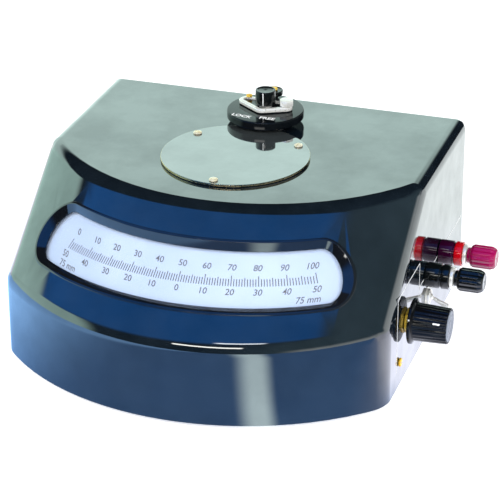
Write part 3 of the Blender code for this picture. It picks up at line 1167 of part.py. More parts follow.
def make_inlet(finishes):
    """The two-hole socket for the lamp's supply, its plate outside the back wall."""
    face = BACK_Y + GAP
    middle = Vector((INLET_X, 0, INLET_Z))
    half = Vector((INLET_PLATE_WIDTH / 2, 0, INLET_PLATE_HEIGHT / 2))
    near = Vector((0, face, 0))
    far = Vector((0, face + INLET_PLATE_THICKNESS, 0))
    shape = block(middle - half + near, middle + half + far)
    inlet = make_object("supply_inlet", shape, finishes["black_plastic"])
    half = Vector((INLET_BODY_WIDTH / 2, 0, INLET_BODY_HEIGHT / 2))
    deep = Vector((0, face - INLET_BODY_LENGTH, 0))
    root = Vector((0, face + INLET_PLATE_THICKNESS / 2, 0))
    combine(inlet, guide("inlet_body", block(middle - half + deep, middle + half + root)), "UNION")
    for side in (-1, 1):
        outside = face + INLET_PLATE_THICKNESS
        at = (INLET_X + side * INLET_HOLE_SPACING / 2, outside, INLET_Z)
        drill(inlet, f"inlet_hole_{side}", INLET_HOLE_RADIUS, at, 2 * INLET_HOLE_DEPTH, ALONG_Y, SMALL_SIDES)


def stand_on_bench():
    """Hang all from one empty that lifts the base plate until the feet stand on z = 0."""
    stand = bpy.data.objects.new("stand", None)
    stand.location = (0, 0, STANDING_HEIGHT)
    for made in bpy.context.scene.objects:
        if made.parent is None:
            made.parent = stand
    bpy.context.scene.collection.objects.link(stand)


def main():
    clear_scene()
    finishes = make_finishes()
    make_case(finishes)
    make_base_plate(finishes)
    make_feet(finishes)
    make_window(finishes)
    make_nameplate(finishes)
    make_suspension_tube(finishes)
    make_head_disc(finishes)
    make_lock_lever(finishes)
    make_zero_knob(finishes)
    make_clamp(finishes)
    make_movement(finishes)
    make_coil(finishes)
    make_lamp(finishes)
    make_transformer(finishes)
    make_range_switch(finishes)
    for name in TERMINAL_Y:
        make_terminal(name, finishes)
    make_toggle(finishes)
    make_panel_screw(finishes)
    make_inlet(finishes)
    stand_on_bench()


main()
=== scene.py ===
"""Spot reflecting galvanometer: its surfaces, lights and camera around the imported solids."""

import math
from functools import partial, reduce

import bmesh
import bpy
from mathutils import Matrix, Vector


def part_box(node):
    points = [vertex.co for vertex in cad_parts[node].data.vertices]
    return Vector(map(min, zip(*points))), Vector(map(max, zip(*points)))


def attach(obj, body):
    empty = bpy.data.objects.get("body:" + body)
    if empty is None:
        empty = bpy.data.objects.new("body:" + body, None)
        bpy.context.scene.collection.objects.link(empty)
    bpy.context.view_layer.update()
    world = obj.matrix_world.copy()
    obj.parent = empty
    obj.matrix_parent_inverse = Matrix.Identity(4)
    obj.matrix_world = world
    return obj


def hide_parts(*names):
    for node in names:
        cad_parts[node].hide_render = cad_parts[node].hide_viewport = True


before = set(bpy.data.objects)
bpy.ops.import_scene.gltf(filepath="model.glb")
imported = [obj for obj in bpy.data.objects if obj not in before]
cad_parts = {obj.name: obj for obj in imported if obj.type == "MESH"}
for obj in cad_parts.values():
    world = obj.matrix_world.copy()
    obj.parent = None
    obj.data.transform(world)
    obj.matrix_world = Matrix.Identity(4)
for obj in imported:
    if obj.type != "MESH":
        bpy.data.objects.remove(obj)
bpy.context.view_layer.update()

MM = 0.001
UP = Vector((0, 0, 1))
OUT = Vector((1, 0, 0))
BACK = Vector((0, 1, 0))
INSTRUMENT = "galvanometer"

# Case form, in metres, as the solids have it; heights start at the base plate
BASE_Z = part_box("base_plate")[0].z
HALF_WIDTH = 0.117
FRONT_BULGE = 0.0524
BACK_Y = 0.1157
RIM_Z = BASE_Z - 0.0033
CREASE_Z = BASE_Z + 0.0450
TOP_Z = BASE_Z + 0.1026
TOP_FRONT_BULGE = 0.0657
TOP_FRONT_SETBACK = 0.0645
WALL = 0.004
EDGE_RADIUS = 0.0078
CREASE_RADIUS = 0.0052
TOP_FRONT_SHARE = 0.72
BACK_EDGE_SHARE = 0.3
BAND_RADIUS = (HALF_WIDTH**2 + FRONT_BULGE**2) / (2 * FRONT_BULGE)
BAND_CENTRE_Y = BAND_RADIUS - BACK_Y
TOP_FRONT_RADIUS = (HALF_WIDTH**2 + TOP_FRONT_BULGE**2) / (2 * TOP_FRONT_BULGE)
TOP_CENTRE_Y = TOP_FRONT_SETBACK - BACK_Y + TOP_FRONT_RADIUS
SLOPE_ANGLE = math.atan2(TOP_Z - CREASE_Z, TOP_FRONT_SETBACK)
FLOOR_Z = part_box("foot_back")[0].z

# Scale window
WINDOW_HALF_LENGTH = 0.0947
WINDOW_HALF_HEIGHT = 0.01485
WINDOW_END = 0.0137
WINDOW_SHIFT = -0.0018
WINDOW_FAN = 0.085
WINDOW_MIDDLE_Z = (CREASE_Z + TOP_Z) / 2
GLASS_DEPTH = 0.0040
SCALE_DEPTH = 0.0053
FRAME_INSET = 0.0029

# Printed rows of the scale: rise over the row of divisions, tilt, spread and shift to the side
DIVISION = 1.49 * MM
TICK = 4.4 * MM
TICK_Z = BASE_Z + 0.0667
TICK_ROW = (0.0009, 0.004, 1.041, -0.00085)
UPPER_ROW = (0.0085, 0.0, 0.976, -0.0008)
LOWER_ROW = (-0.0016, 0.0045, 1.049, -0.00085)
NUMBER_SIZE = 3.8
CAPITAL_SHARE = 0.72

# Places of the head and the controls
HEAD_Y = 0.0747
TERMINAL_Z = BASE_Z + 0.0397
TERMINALS = {"red": 0.0564, "black": 0.0237}
TERMINAL_BORE = 2.3
RANGE_PLACE = (HALF_WIDTH, -0.0225, BASE_Z + 0.0321)
TOGGLE_PLACE = (HALF_WIDTH, 0.0262, BASE_Z + 0.0239)
PANEL_SCREW_PLACE = (HALF_WIDTH + 0.0003, -0.0374, BASE_Z + 0.0123)
INLET_X, INLET_Z = -0.075, BASE_Z + 0.027
INLET_HALF_WIDTH, INLET_HALF_HEIGHT, INLET_GAP = 0.0095, 0.0055, 0.0003


# Node helpers


def feed(tree, node, **inputs):
    """Sets a node's inputs to values, or joins them to other nodes' outputs."""
    for label, value in inputs.items():
        socket = node.inputs[label.replace("_", " ")]
        if isinstance(value, bpy.types.NodeSocket):
            tree.links.new(value, socket)
        else:
            socket.default_value = (*value, 1) if socket.type == "RGBA" else value
    return node


def add_node(tree, kind, **inputs):
    return feed(tree, tree.nodes.new(kind), **inputs)


def calculate(tree, operation, *values):
    node = tree.nodes.new("ShaderNodeMath")
    node.operation = operation
    for socket, value in zip(node.inputs, values):
        if isinstance(value, (int, float)):
            socket.default_value = value
        else:
            tree.links.new(value, socket)
    return node.outputs[0]


# Materials


class Finish:
    """A procedural finish: a Principled shader with its pattern on Object coordinates."""

    def __init__(self, name, **values):
        self.material = bpy.data.materials.new(name)
        self.material.use_nodes = True
        self.tree = self.material.node_tree
        self.place = self.tree.nodes.new("ShaderNodeTexCoord").outputs["Object"]
        self.set(**values)

    def set(self, **values):
        feed(self.tree, self.tree.nodes["Principled BSDF"], **values)

    def grain(self, scale, detail=4.0, roughness=0.55, stretch=(1, 1, 1)):
        """Noise on Object coordinates, stretched along the axes where a surface is brushed."""
        mapping = add_node(self.tree, "ShaderNodeMapping", Vector=self.place, Scale=stretch)
        noise = add_node(self.tree, "ShaderNodeTexNoise", Vector=mapping.outputs["Vector"], Scale=scale,
                         Detail=detail, Roughness=roughness)
        return noise.outputs["Fac"]

    def span(self, factor, low, high, from_low=0.3, from_high=0.7):
        """The factor carried over to a range of values."""
        ranged = add_node(self.tree, "ShaderNodeMapRange", Value=factor, From_Min=from_low,
                          From_Max=from_high, To_Min=low, To_Max=high)
        return ranged.outputs["Result"]

    def tint(self, factor, first, second):
        """A colour that runs from the first to the second with the factor."""
        ramp = add_node(self.tree, "ShaderNodeValToRGB", Fac=factor)
        for stop, position, colour in zip(ramp.color_ramp.elements, (0.35, 0.65), (first, second)):
            stop.position = position
            stop.color = (*colour, 1)
        self.set(Base_Color=ramp.outputs["Color"])

    def rough(self, factor, low, high):
        self.set(Roughness=self.span(factor, low, high))

    def relief(self, factor, height, strength=0.5):
        bump = add_node(self.tree, "ShaderNodeBump", Distance=height, Strength=strength, Height=factor)
        self.set(Normal=bump.outputs["Normal"])


def moulding(name, colour, second, roughness, ior=1.7, coat=1.0):
    """Polished moulded plastic: faint ripple of the mould, handling haze and smears."""
    finish = Finish(name, IOR=ior, Coat_Roughness=0.02)
    finish.tint(finish.grain(38, 5), colour, second)
    smears = finish.grain(26, 6, 0.62)
    finish.set(Coat_Weight=finish.span(smears, 0.55 * coat, coat, 0.36, 0.62))
    finish.rough(finish.grain(90, 6, 0.65), roughness, roughness + 0.05)
    finish.relief(finish.grain(60, 2, 0.4), 0.02 * MM, 0.25)
    return finish.material


def metal(name, colour, second, low, high, stretch=(1, 1, 1), scale=900, height=0.01, metallic=1.0):
    """Plated or turned metal with fine tool lines and a little tarnish."""
    finish = Finish(name, Metallic=metallic)
    finish.tint(finish.grain(160, 5), colour, second)
    lines = finish.grain(scale, 3, 0.5, stretch)
    finish.rough(lines, low, high)
    finish.relief(lines, height * MM, 0.35)
    return finish.material


def matt(name, colour, second, roughness, scale=400, height=0.04, stretch=(1, 1, 1)):
    finish = Finish(name)
    grain = finish.grain(scale, 5, 0.6, stretch)
    finish.tint(grain, colour, second)
    finish.rough(grain, roughness, min(1.0, roughness + 0.15))
    finish.relief(grain, height * MM)
    return finish.material


def clear_glass(name, alpha):
    finish = Finish(name, Base_Color=(0.95, 0.98, 1.0), Alpha=alpha, IOR=1.5, Coat_Weight=0.5)
    finish.rough(finish.grain(25, 3), 0.01, 0.05)
    finish.material.surface_render_method = "BLENDED"
    return finish.material


def scale_card(name):
    """Pale opal scale: almost even, with a faint cloudiness."""
    finish = Finish(name)
    finish.tint(finish.grain(30), (0.42, 0.55, 0.80), (0.48, 0.61, 0.85))
    finish.rough(finish.grain(300), 0.40, 0.50)
    return finish.material


PLAIN = (1, 1, 1)
finishes = {
    "case": moulding("case_black", (0.003, 0.006, 0.010), (0.007, 0.012, 0.018), 0.02),
    "surround": moulding("surround_black", (0.003, 0.004, 0.006), (0.007, 0.008, 0.011), 0.03, 1.5, 0.5),
    "disc": moulding("disc_black", (0.002, 0.003, 0.004), (0.005, 0.006, 0.008), 0.06, 1.28, 0.18),
    "knob": moulding("knob_black", (0.002, 0.002, 0.003), (0.005, 0.005, 0.006), 0.14, 1.30, 0.12),
    "terminal": moulding("terminal_black", (0.002, 0.003, 0.003), (0.005, 0.006, 0.007), 0.14, 1.30, 0.60),
    "red": moulding("head_red", (0.30, 0.0012, 0.062), (0.40, 0.002, 0.095), 0.12, 1.35, 0.6),
    # The red collar plastic in two copies: the bright red as lit, and a darker purple-red copy that is
    # painted shade for the collar's inner part by the wall.
    "bright_red": moulding("collar_red", (0.62, 0.001, 0.006), (0.76, 0.003, 0.015), 0.16, 1.35, 0.6),
    "red_painted_shade": moulding("collar_purple", (0.030, 0.0005, 0.018), (0.045, 0.001, 0.028), 0.14, 1.30, 0.6),
    "plate": moulding("nameplate_lacquer", (0.030, 0.036, 0.038), (0.045, 0.052, 0.054), 0.02, 2.7),
    "nickel": metal("nickel", (0.95, 0.93, 0.86), (0.99, 0.98, 0.93), 0.26, 0.36, PLAIN, 900, 0.002, 0.40),
    "brass": metal("brass", (1.0, 0.58, 0.03), (1.0, 0.72, 0.12), 0.26, 0.38, PLAIN, 900, 0.003, 0.25),
    "pale_brass": metal("pale_brass", (0.90, 0.80, 0.52), (0.98, 0.92, 0.72), 0.26, 0.38, height=0.003,
                        metallic=0.4),
    "gilt": metal("gilt_edge", (0.62, 0.48, 0.24), (0.80, 0.66, 0.38), 0.22, 0.36),
    "steel": metal("plate_steel", (0.40, 0.41, 0.43), (0.52, 0.53, 0.55), 0.28, 0.45, (1, 40, 1), 60),
    "cap": metal("cap_inlay", (0.05, 0.07, 0.10), (0.09, 0.12, 0.16), 0.20, 0.34, PLAIN, 1400, metallic=0.15),
    "aluminium": metal("spun_aluminium", (0.66, 0.68, 0.72), (0.80, 0.82, 0.85), 0.20, 0.38, PLAIN, 1400),
    "copper": metal("wound_copper", (0.50, 0.17, 0.07), (0.72, 0.30, 0.14), 0.25, 0.45, (1, 1, 30), 90),
    "magnet": metal("magnet_steel", (0.14, 0.15, 0.17), (0.24, 0.25, 0.28), 0.38, 0.55),
    "iron": metal("laminated_iron", (0.10, 0.10, 0.10), (0.20, 0.19, 0.18), 0.40, 0.60, (1, 60, 1), 50),
    "silvered": metal("silvered_glass", (0.84, 0.86, 0.88), (0.92, 0.93, 0.94), 0.02, 0.05),
    "rubber": matt("foot_rubber", (0.012, 0.012, 0.012), (0.030, 0.030, 0.030), 0.65),
    "board": matt("laminated_board", (0.12, 0.045, 0.018), (0.20, 0.085, 0.035), 0.40, 60, 0.03, (1, 1, 12)),
    "ink": matt("scale_ink", (0.004, 0.007, 0.024), (0.014, 0.018, 0.045), 0.45, 900, 0.01),
    "filled_white": matt("filled_white", (0.90, 0.92, 0.92), (0.98, 0.98, 0.97), 0.45, 900, 0.01),
    "glass": clear_glass("window_glass", 0.10),
    "bulb": clear_glass("bulb_glass", 0.30),
    "card": scale_card("opal_scale"),
}


# Mesh helpers


def linked(name, data):
    """An object in the scene, at the origin, with a mesh, curve, light or camera in it."""
    made = bpy.data.objects.new(name, data)
    bpy.context.scene.collection.objects.link(made)
    return made


def named_object(name, shape):
    """An object from a bmesh, outside faces turned out."""
    bmesh.ops.remove_doubles(shape, verts=shape.verts, dist=1e-7)
    bmesh.ops.recalc_face_normals(shape, faces=shape.faces)
    mesh = bpy.data.meshes.new(name)
    shape.to_mesh(mesh)
    shape.free()
    return linked(name, mesh)


def settled(made):
    """The object with its modifiers worked into a plain mesh."""
    graph = bpy.context.evaluated_depsgraph_get()
    mesh = bpy.data.meshes.new_from_object(made.evaluated_get(graph))
    made.modifiers.clear()
    made.data = mesh
    return made


def add_modifier(made, kind, **values):
    modifier = made.modifiers.new(kind.lower(), kind)
    for key, value in values.items():
        setattr(modifier, key, value)


def carved(made, *cutters, operation="DIFFERENCE"):
    """The object with other shapes taken out of it, or kept only where they meet it."""
    for cutter in cutters:
        add_modifier(made, "BOOLEAN", object=cutter, operation=operation)
    settled(made)
    for cutter in cutters:
        bpy.data.objects.remove(cutter, do_unlink=True)
    return made


def softened(made, width, segments=3, angle=40):
    add_modifier(made, "BEVEL", width=width, segments=segments, limit_method="ANGLE",
                 angle_limit=math.radians(angle))
    return settled(made)


def put(made, at=(0, 0, 0), along=UP, turn=0.0):
    """Works a place into the mesh: its own +Z goes along a direction through a point."""
    facing = UP.rotation_difference(Vector(along)).to_matrix().to_4x4()
    spin = Matrix.Rotation(turn, 4, "Z")
    made.data.transform(Matrix.Translation(Vector(at)) @ facing @ spin)
    made.data.update()
    return made


def shaded(made, sharp):
    """Smooth shading, with hard edges where the surface turns by more than an angle."""
    made.data.shade_smooth()
    made.data.set_sharp_from_angle(angle=math.radians(sharp))


def given_place(made, finish, body, nodes):
    """The finishes and body, and the solids that the piece stands for."""
    made.data.materials.clear()
    for name in finish if isinstance(finish, list) else [finish]:
        made.data.materials.append(finishes[name])
    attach(made, body)
    if nodes:
        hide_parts(*nodes)


def finish_piece(made, finish, body=INSTRUMENT, nodes=(), sharp=32):
    shaded(made, sharp)
    given_place(made, finish, body, nodes)


def two_finishes(made, choose):
    """Gives the second finish to the faces that a test picks."""
    for face in made.data.polygons:
        face.material_index = 1 if choose(face) else 0


def arc_corner(before, corner, after, radius, steps):
    """The points that round one corner of a flat line."""
    back, on = before - corner, after - corner
    if back.length < 1e-9 or on.length < 1e-9:
        return [corner]
    half = back.angle(on) / 2
    if half > math.radians(85) or radius <= 0:
        return [corner]
    reach = min(radius / math.tan(half), 0.48 * back.length, 0.48 * on.length)
    first, last = corner + back.normalized() * reach, corner + on.normalized() * reach
    depth = reach * math.tan(half)
    centre = corner + (back.normalized() + on.normalized()).normalized() * (depth / math.sin(half))
    points = []
    for step in range(steps + 1):
        ray = (first - centre).lerp(last - centre, step / steps)
        points.append(centre + ray.normalized() * depth)
    return points


def rounded_line(points, radius, closed, steps=4):
    line = [Vector(point) for point in points]
    rounded = []
    for k, corner in enumerate(line):
        if not closed and k in (0, len(line) - 1):
            rounded.append(corner)
        else:
            rounded += arc_corner(line[k - 1], corner, line[(k + 1) % len(line)], radius, steps)
    return rounded


def turned(name, profile, radius=0.3, sides=96, closed=False, steps=4):
    """A turned piece about +Z from (radius, height) in millimetres, its corners rounded."""
    line = rounded_line([Vector((r, h)) * MM for r, h in profile], radius * MM, closed, steps)
    shape = bmesh.new()
    rows = []
    for step in range(sides):
        turn = 2 * math.pi * step / sides
        rows.append([(p.x * math.cos(turn), p.x * math.sin(turn), p.y) for p in line])
    verts = [[shape.verts.new(point) for point in row] for row in rows]
    count = len(line)
    for k in range(sides):
        first, second = verts[k], verts[(k + 1) % sides]
        for j in range(count if closed else count - 1):
            nxt = (j + 1) % count
            shape.faces.new((first[j], second[j], second[nxt], first[nxt]))
    bmesh.ops.remove_doubles(shape, verts=shape.verts, dist=1e-7)
    bmesh.ops.dissolve_degenerate(shape, edges=shape.edges, dist=1e-8)
    return named_object(name, shape)


def skin(shape, first, second):
    """Faces between two closed rings of as many vertices."""
    for k in range(len(first)):
        nxt = (k + 1) % len(first)
        shape.faces.new((first[k], first[nxt], second[nxt], second[k]))


def ends(node, axis, origin=0.0):
    """Where a solid starts and ends along an axis, in millimetres from an origin."""
    low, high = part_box(node)
    return (low[axis] - origin) / MM, (high[axis] - origin) / MM


def block(name, low, high):
    shape = bmesh.new()
    size, middle = Vector(high) - Vector(low), (Vector(high) + Vector(low)) / 2
    bmesh.ops.create_cube(shape, size=1, matrix=Matrix.Translation(middle) @ Matrix.Diagonal((*size, 1)))
    return named_object(name, shape)


def raised(name, outline, low, high, opening=None):
    """A flat outline raised between two heights, with an opening of as many points."""
    shape = bmesh.new()
    levels = []
    for line in [outline] + ([opening] if opening else []):
        levels.append([[shape.verts.new((x, y, z)) for x, y in line] for z in (low, high)])
    for bottom, top in levels:
        skin(shape, bottom, top)
    for level in (0, 1):
        if opening:
            skin(shape, levels[0][level], levels[1][level])
        else:
            shape.faces.new(levels[0][level])
    return named_object(name, shape)


def slotted(name, radius, height, slot_width, slot_depth, dome=0.0, shank=0.0, shank_radius=0.0):
    """A screw head on z = 0 with a driver slot, domed if asked, sizes in millimetres."""
    profile = [(0, -shank), (shank_radius, -shank), (shank_radius, 0)] if shank else [(0, 0)]
    profile += [(radius, 0), (radius, height - dome)]
    if dome:
        profile += [(radius * 0.86, height - dome * 0.45), (radius * 0.55, height - dome * 0.1)]
    profile.append((0, height))
    head = turned(f"{name}_blank", profile, 0.22, 64)
    half = slot_width / 2 * MM
    cutter = block("slot", (-2 * radius * MM, -half, (height - slot_depth) * MM),
                   (2 * radius * MM, half, 2 * height * MM))
    made = carved(head, cutter)
    made.name = name
    return softened(made, 0.06 * MM, 2, 50)


def hexagon(name, radius, height, bore, chamfer=0.5):
    """A chamfered six-sided nut standing on z = 0, sizes in millimetres."""
    shape = bmesh.new()
    bmesh.ops.create_cone(shape, cap_ends=True, segments=6, radius1=radius * MM, radius2=radius * MM,
                          depth=height * MM, matrix=Matrix.Translation((0, 0, height * MM / 2)))
    made = named_object(name, shape)
    flat = radius * math.cos(math.pi / 6)
    ring = [(0, 0), (flat + 0.1, 0), (radius + 0.2, chamfer * 0.6), (radius + 0.2, height - chamfer * 0.7),
            (flat - 0.1, height), (0, height)]
    carved(made, turned("nut_form", ring, 0, 64), operation="INTERSECT")
    if bore:
        lip = bore + 0.35
        inside = [(0, -1), (bore, -1), (bore, height - 0.35), (lip, height), (lip, height + 1),
                  (0, height + 1)]
        carved(made, turned("nut_bore", inside, 0, 48))
    return softened(made, 0.08 * MM, 2, 25)


# Node trees for what repeats


def new_tree(name, **sizes):
    """A geometry tree with a Geometry input and a named input for each size."""
    tree = bpy.data.node_groups.new(name, "GeometryNodeTree")
    sockets = [("Geometry", "INPUT", "Geometry")]
    sockets += [(label.replace("_", " "), "INPUT", kind) for label, kind in sizes.items()]
    for label, side, kind in sockets + [("Geometry", "OUTPUT", "Geometry")]:
        tree.interface.new_socket(label, in_out=side, socket_type=f"NodeSocket{kind}")
    return tree, tree.nodes.new("NodeGroupInput").outputs, tree.nodes.new("NodeGroupOutput")


def end_tree(tree, geometry, given, target):
    """Realize Instances and Set Material close every tree."""
    real = add_node(tree, "GeometryNodeRealizeInstances", Geometry=geometry)
    coat = add_node(tree, "GeometryNodeSetMaterial", Geometry=real.outputs[0], Material=given["Material"])
    feed(tree, target, Geometry=coat.outputs[0])
    return tree


def grown(made, tree, **values):
    """The object with a geometry tree worked into its mesh."""
    modifier = made.modifiers.new(tree.name, "NODES")
    modifier.node_group = tree
    for item in tree.interface.items_tree:
        if item.in_out == "INPUT" and item.name != "Geometry":
            modifier[item.identifier] = values[item.name.replace(" ", "_")]
    settled(made)


def flute_tree():
    """Finger flutes: the side of a turned grip goes in and out with the angle about +Z."""
    tree, given, target = new_tree("finger_flutes", Count="Int", Depth="Float", Low="Float", High="Float",
                                   Fade="Float", Least_Radius="Float", Material="Material")
    work = partial(calculate, tree)
    position = tree.nodes.new("GeometryNodeInputPosition").outputs[0]
    x, y, z = add_node(tree, "ShaderNodeSeparateXYZ", Vector=position).outputs
    angle = work("ARCTAN2", y, x)
    radius = work("POWER", work("MULTIPLY_ADD", x, x, work("MULTIPLY", y, y)), 0.5)
    wave = work("COSINE", work("MULTIPLY", angle, given["Count"]))
    valley = work("POWER", work("MULTIPLY_ADD", wave, -0.5, 0.5), 1.6)
    above = work("DIVIDE", work("SUBTRACT", z, given["Low"]), given["Fade"])
    below = work("DIVIDE", work("SUBTRACT", given["High"], z), given["Fade"])
    outside = work("MULTIPLY", work("SUBTRACT", radius, given["Least Radius"]), 4000)
    mask = work("MINIMUM", work("MINIMUM", above, below), outside)
    mask = work("MINIMUM", work("MAXIMUM", mask, 0), 1)
    depth = work("MULTIPLY", work("MULTIPLY", valley, mask), given["Depth"])
    inward = work("MULTIPLY", depth, -1)
    offset = add_node(tree, "ShaderNodeCombineXYZ", X=work("MULTIPLY", work("COSINE", angle), inward),
                      Y=work("MULTIPLY", work("SINE", angle), inward))
    move = add_node(tree, "GeometryNodeSetPosition", Geometry=given["Geometry"], Offset=offset.outputs[0])
    return end_tree(tree, move.outputs[0], given, target)


def copies_tree():
    """A copy of one piece on each point, turned by the point's own directions, some stretched."""
    tree, given, target = new_tree("copies_on_points", Piece="Object", Medium_Every="Int",
                                   Long_Every="Int", Medium="Float", Long="Float", Material="Material")
    work = partial(calculate, tree)
    points = add_node(tree, "GeometryNodeMeshToPoints", Mesh=given["Geometry"])
    piece = add_node(tree, "GeometryNodeObjectInfo", Object=given["Piece"])
    facing = tree.nodes.new("FunctionNodeAxesToRotation")
    facing.primary_axis = "Z"
    facing.secondary_axis = "X"
    for label, axis in (("outward", "Primary_Axis"), ("across", "Secondary_Axis")):
        direction = add_node(tree, "GeometryNodeInputNamedAttribute", Name=label)
        direction.data_type = "FLOAT_VECTOR"
        feed(tree, facing, **{axis: direction.outputs["Attribute"]})
    index = tree.nodes.new("GeometryNodeInputIndex").outputs[0]
    medium, long = (work("COMPARE", work("MODULO", index, given[every]), 0, 0.1)
                    for every in ("Medium Every", "Long Every"))
    height = work("MULTIPLY_ADD", medium, work("SUBTRACT", given["Medium"], 1), 1)
    height = work("MULTIPLY_ADD", long, work("SUBTRACT", given["Long"], given["Medium"]), height)
    stretch = add_node(tree, "ShaderNodeCombineXYZ", X=1, Y=height, Z=1)
    place = add_node(tree, "GeometryNodeInstanceOnPoints", Points=points.outputs[0],
                     Instance=piece.outputs["Geometry"], Rotation=facing.outputs[0],
                     Scale=stretch.outputs[0])
    return end_tree(tree, place.outputs[0], given, target)


FLUTES = flute_tree()
COPIES = copies_tree()


def fluted(made, finish, count, **sizes):
    """A turned grip with finger flutes, sizes in millimetres."""
    sizes = {label: size * MM for label, size in sizes.items()}
    grown(made, FLUTES, Count=count, Material=finishes[finish], **sizes)


def on_points(name, piece, places, finish, medium_every=10**6, long_every=10**6, medium=1.0, long=1.0):
    """One mesh of copies; places are (point, outward, across)."""
    mesh = bpy.data.meshes.new(name)
    mesh.from_pydata([point for point, _, _ in places], [], [])
    for label, column in (("outward", 1), ("across", 2)):
        attribute = mesh.attributes.new(label, "FLOAT_VECTOR", "POINT")
        for item, place in zip(attribute.data, places):
            item.vector = place[column]
    made = linked(name, mesh)
    grown(made, COPIES, Piece=piece, Medium_Every=medium_every, Long_Every=long_every, Medium=medium,
          Long=long, Material=finishes[finish])
    bpy.data.objects.remove(piece, do_unlink=True)
    return made


# Case


def band_y(x, inset=0.0):
    return BAND_CENTRE_Y - math.sqrt((BAND_RADIUS - inset) ** 2 - x * x)


def top_front_y(x, setback=0.0):
    return TOP_CENTRE_Y + setback - math.sqrt(TOP_FRONT_RADIUS**2 - x * x)


def slope_axes(x, z):
    """(surface point, outward, across, upward) on the sloped face at x and z."""
    share = (z - CREASE_Z) / (TOP_Z - CREASE_Z)
    low, high = band_y(x), top_front_y(x)
    low_lean = x / math.sqrt(BAND_RADIUS**2 - x * x)
    high_lean = x / math.sqrt(TOP_FRONT_RADIUS**2 - x * x)
    lean = low_lean + (high_lean - low_lean) * share
    rise = (high - low) / (TOP_Z - CREASE_Z)
    outward = Vector((lean, -1, rise)).normalized()
    across = Vector((1, lean, 0)).normalized()
    across = (across - outward * across.dot(outward)).normalized()
    return Vector((x, low + (high - low) * share, z)), outward, across, outward.cross(across)


def slope_point(x, z, depth):
    point, outward, _, _ = slope_axes(x, z)
    return point - outward * depth


def window_outline(inset, side_steps=72, end_steps=18):
    half_length = WINDOW_HALF_LENGTH - inset
    half_height = WINDOW_HALF_HEIGHT - inset * math.sin(SLOPE_ANGLE)
    end = WINDOW_END - inset
    straight = half_length - end
    upper = []
    for step in range(end_steps):
        turn = math.pi / 2 * step / end_steps
        upper.append((straight + end * math.cos(turn), half_height * math.sin(turn)))
    for step in range(side_steps + 1):
        upper.append((straight * (1 - 2 * step / side_steps), half_height))
    for step in range(1, end_steps + 1):
        turn = math.pi / 2 * (1 + step / end_steps)
        upper.append((-straight + end * math.cos(turn), half_height * math.sin(turn)))
    lower = [(x, -z) for x, z in reversed(upper[1:-1])]
    outline = []
    for x, z in upper + lower:
        narrowing = 1 - WINDOW_FAN * z / WINDOW_HALF_HEIGHT
        outline.append((WINDOW_SHIFT + x * narrowing, WINDOW_MIDDLE_Z + z))
    return outline


def window_slice(name, inset, near, far):
    """A curved sheet of the window's outline between two depths."""
    shape = bmesh.new()
    outline = window_outline(inset)
    count = len(outline)
    rows = [[shape.verts.new(slope_point(x, z, depth)) for x, z in outline] for depth in (near, far)]
    skin(shape, *rows)
    for row in rows:
        for k in range(count // 2):
            corners = [row[k], row[k + 1], row[-k - 1], row[-k % count]]
            shape.faces.new(list(dict.fromkeys(corners)))
    return named_object(name, shape)


def case_form(name, inset, steps):
    """The case's form, or with an inset the room inside it."""
    half, back = HALF_WIDTH - inset, BACK_Y - inset
    low_z = RIM_Z - (0.002 if inset else 0)
    crease_z = CREASE_Z - inset * math.tan((math.pi / 2 - SLOPE_ANGLE) / 2)
    top_z = TOP_Z - inset
    setback = inset * math.tan(SLOPE_ANGLE / 2)
    across = [half * (2 * step / steps - 1) for step in range(steps + 1)]
    shape = bmesh.new()
    low = [shape.verts.new((x, band_y(x, inset), low_z)) for x in across]
    crease = [shape.verts.new((x, band_y(x, inset), crease_z)) for x in across]
    top = [shape.verts.new((x, top_front_y(x, setback), top_z)) for x in across]
    low_back = [shape.verts.new((x, back, low_z)) for x in (-half, half)]
    top_back = [shape.verts.new((x, back, top_z)) for x in (-half, half)]
    for k in range(steps):
        shape.faces.new((low[k], low[k + 1], crease[k + 1], crease[k]))
        shape.faces.new((crease[k], crease[k + 1], top[k + 1], top[k]))
    shape.faces.new((low[-1], low_back[1], top_back[1], top[-1], crease[-1]))
    shape.faces.new((low[0], crease[0], top[0], top_back[0], low_back[0]))
    shape.faces.new((low_back[0], top_back[0], top_back[1], low_back[1]))
    shape.faces.new([*low, low_back[1], low_back[0]])
    shape.faces.new([*top, top_back[1], top_back[0]])
    if not inset:
        edge_weights(shape)
    return named_object(name, shape)


def edge_weights(shape):
    """How far each edge of the case is rounded, as a share of the edge radius; the rim stays sharp."""
    rules = (
        (lambda end: end.z - RIM_Z, 0),
        (lambda end: end.z - CREASE_Z, CREASE_RADIUS / EDGE_RADIUS),
        (lambda end: end.y - BACK_Y, BACK_EDGE_SHARE),
        (lambda end: abs(end.x) - HALF_WIDTH, 1),
        (lambda end: end.z - TOP_Z, TOP_FRONT_SHARE),
    )
    weights = shape.edges.layers.float.new("bevel_weight_edge")
    for edge in shape.edges:
        for distance, share in rules:
            if all(abs(distance(vertex.co)) < 1e-4 for vertex in edge.verts):
                edge[weights] = share
                break


def hole(radius, at, along, half=6.0):
    cutter = turned("hole", [(0, -half), (radius, -half), (radius, half), (0, half)], 0, 48)
    return put(cutter, at, along)


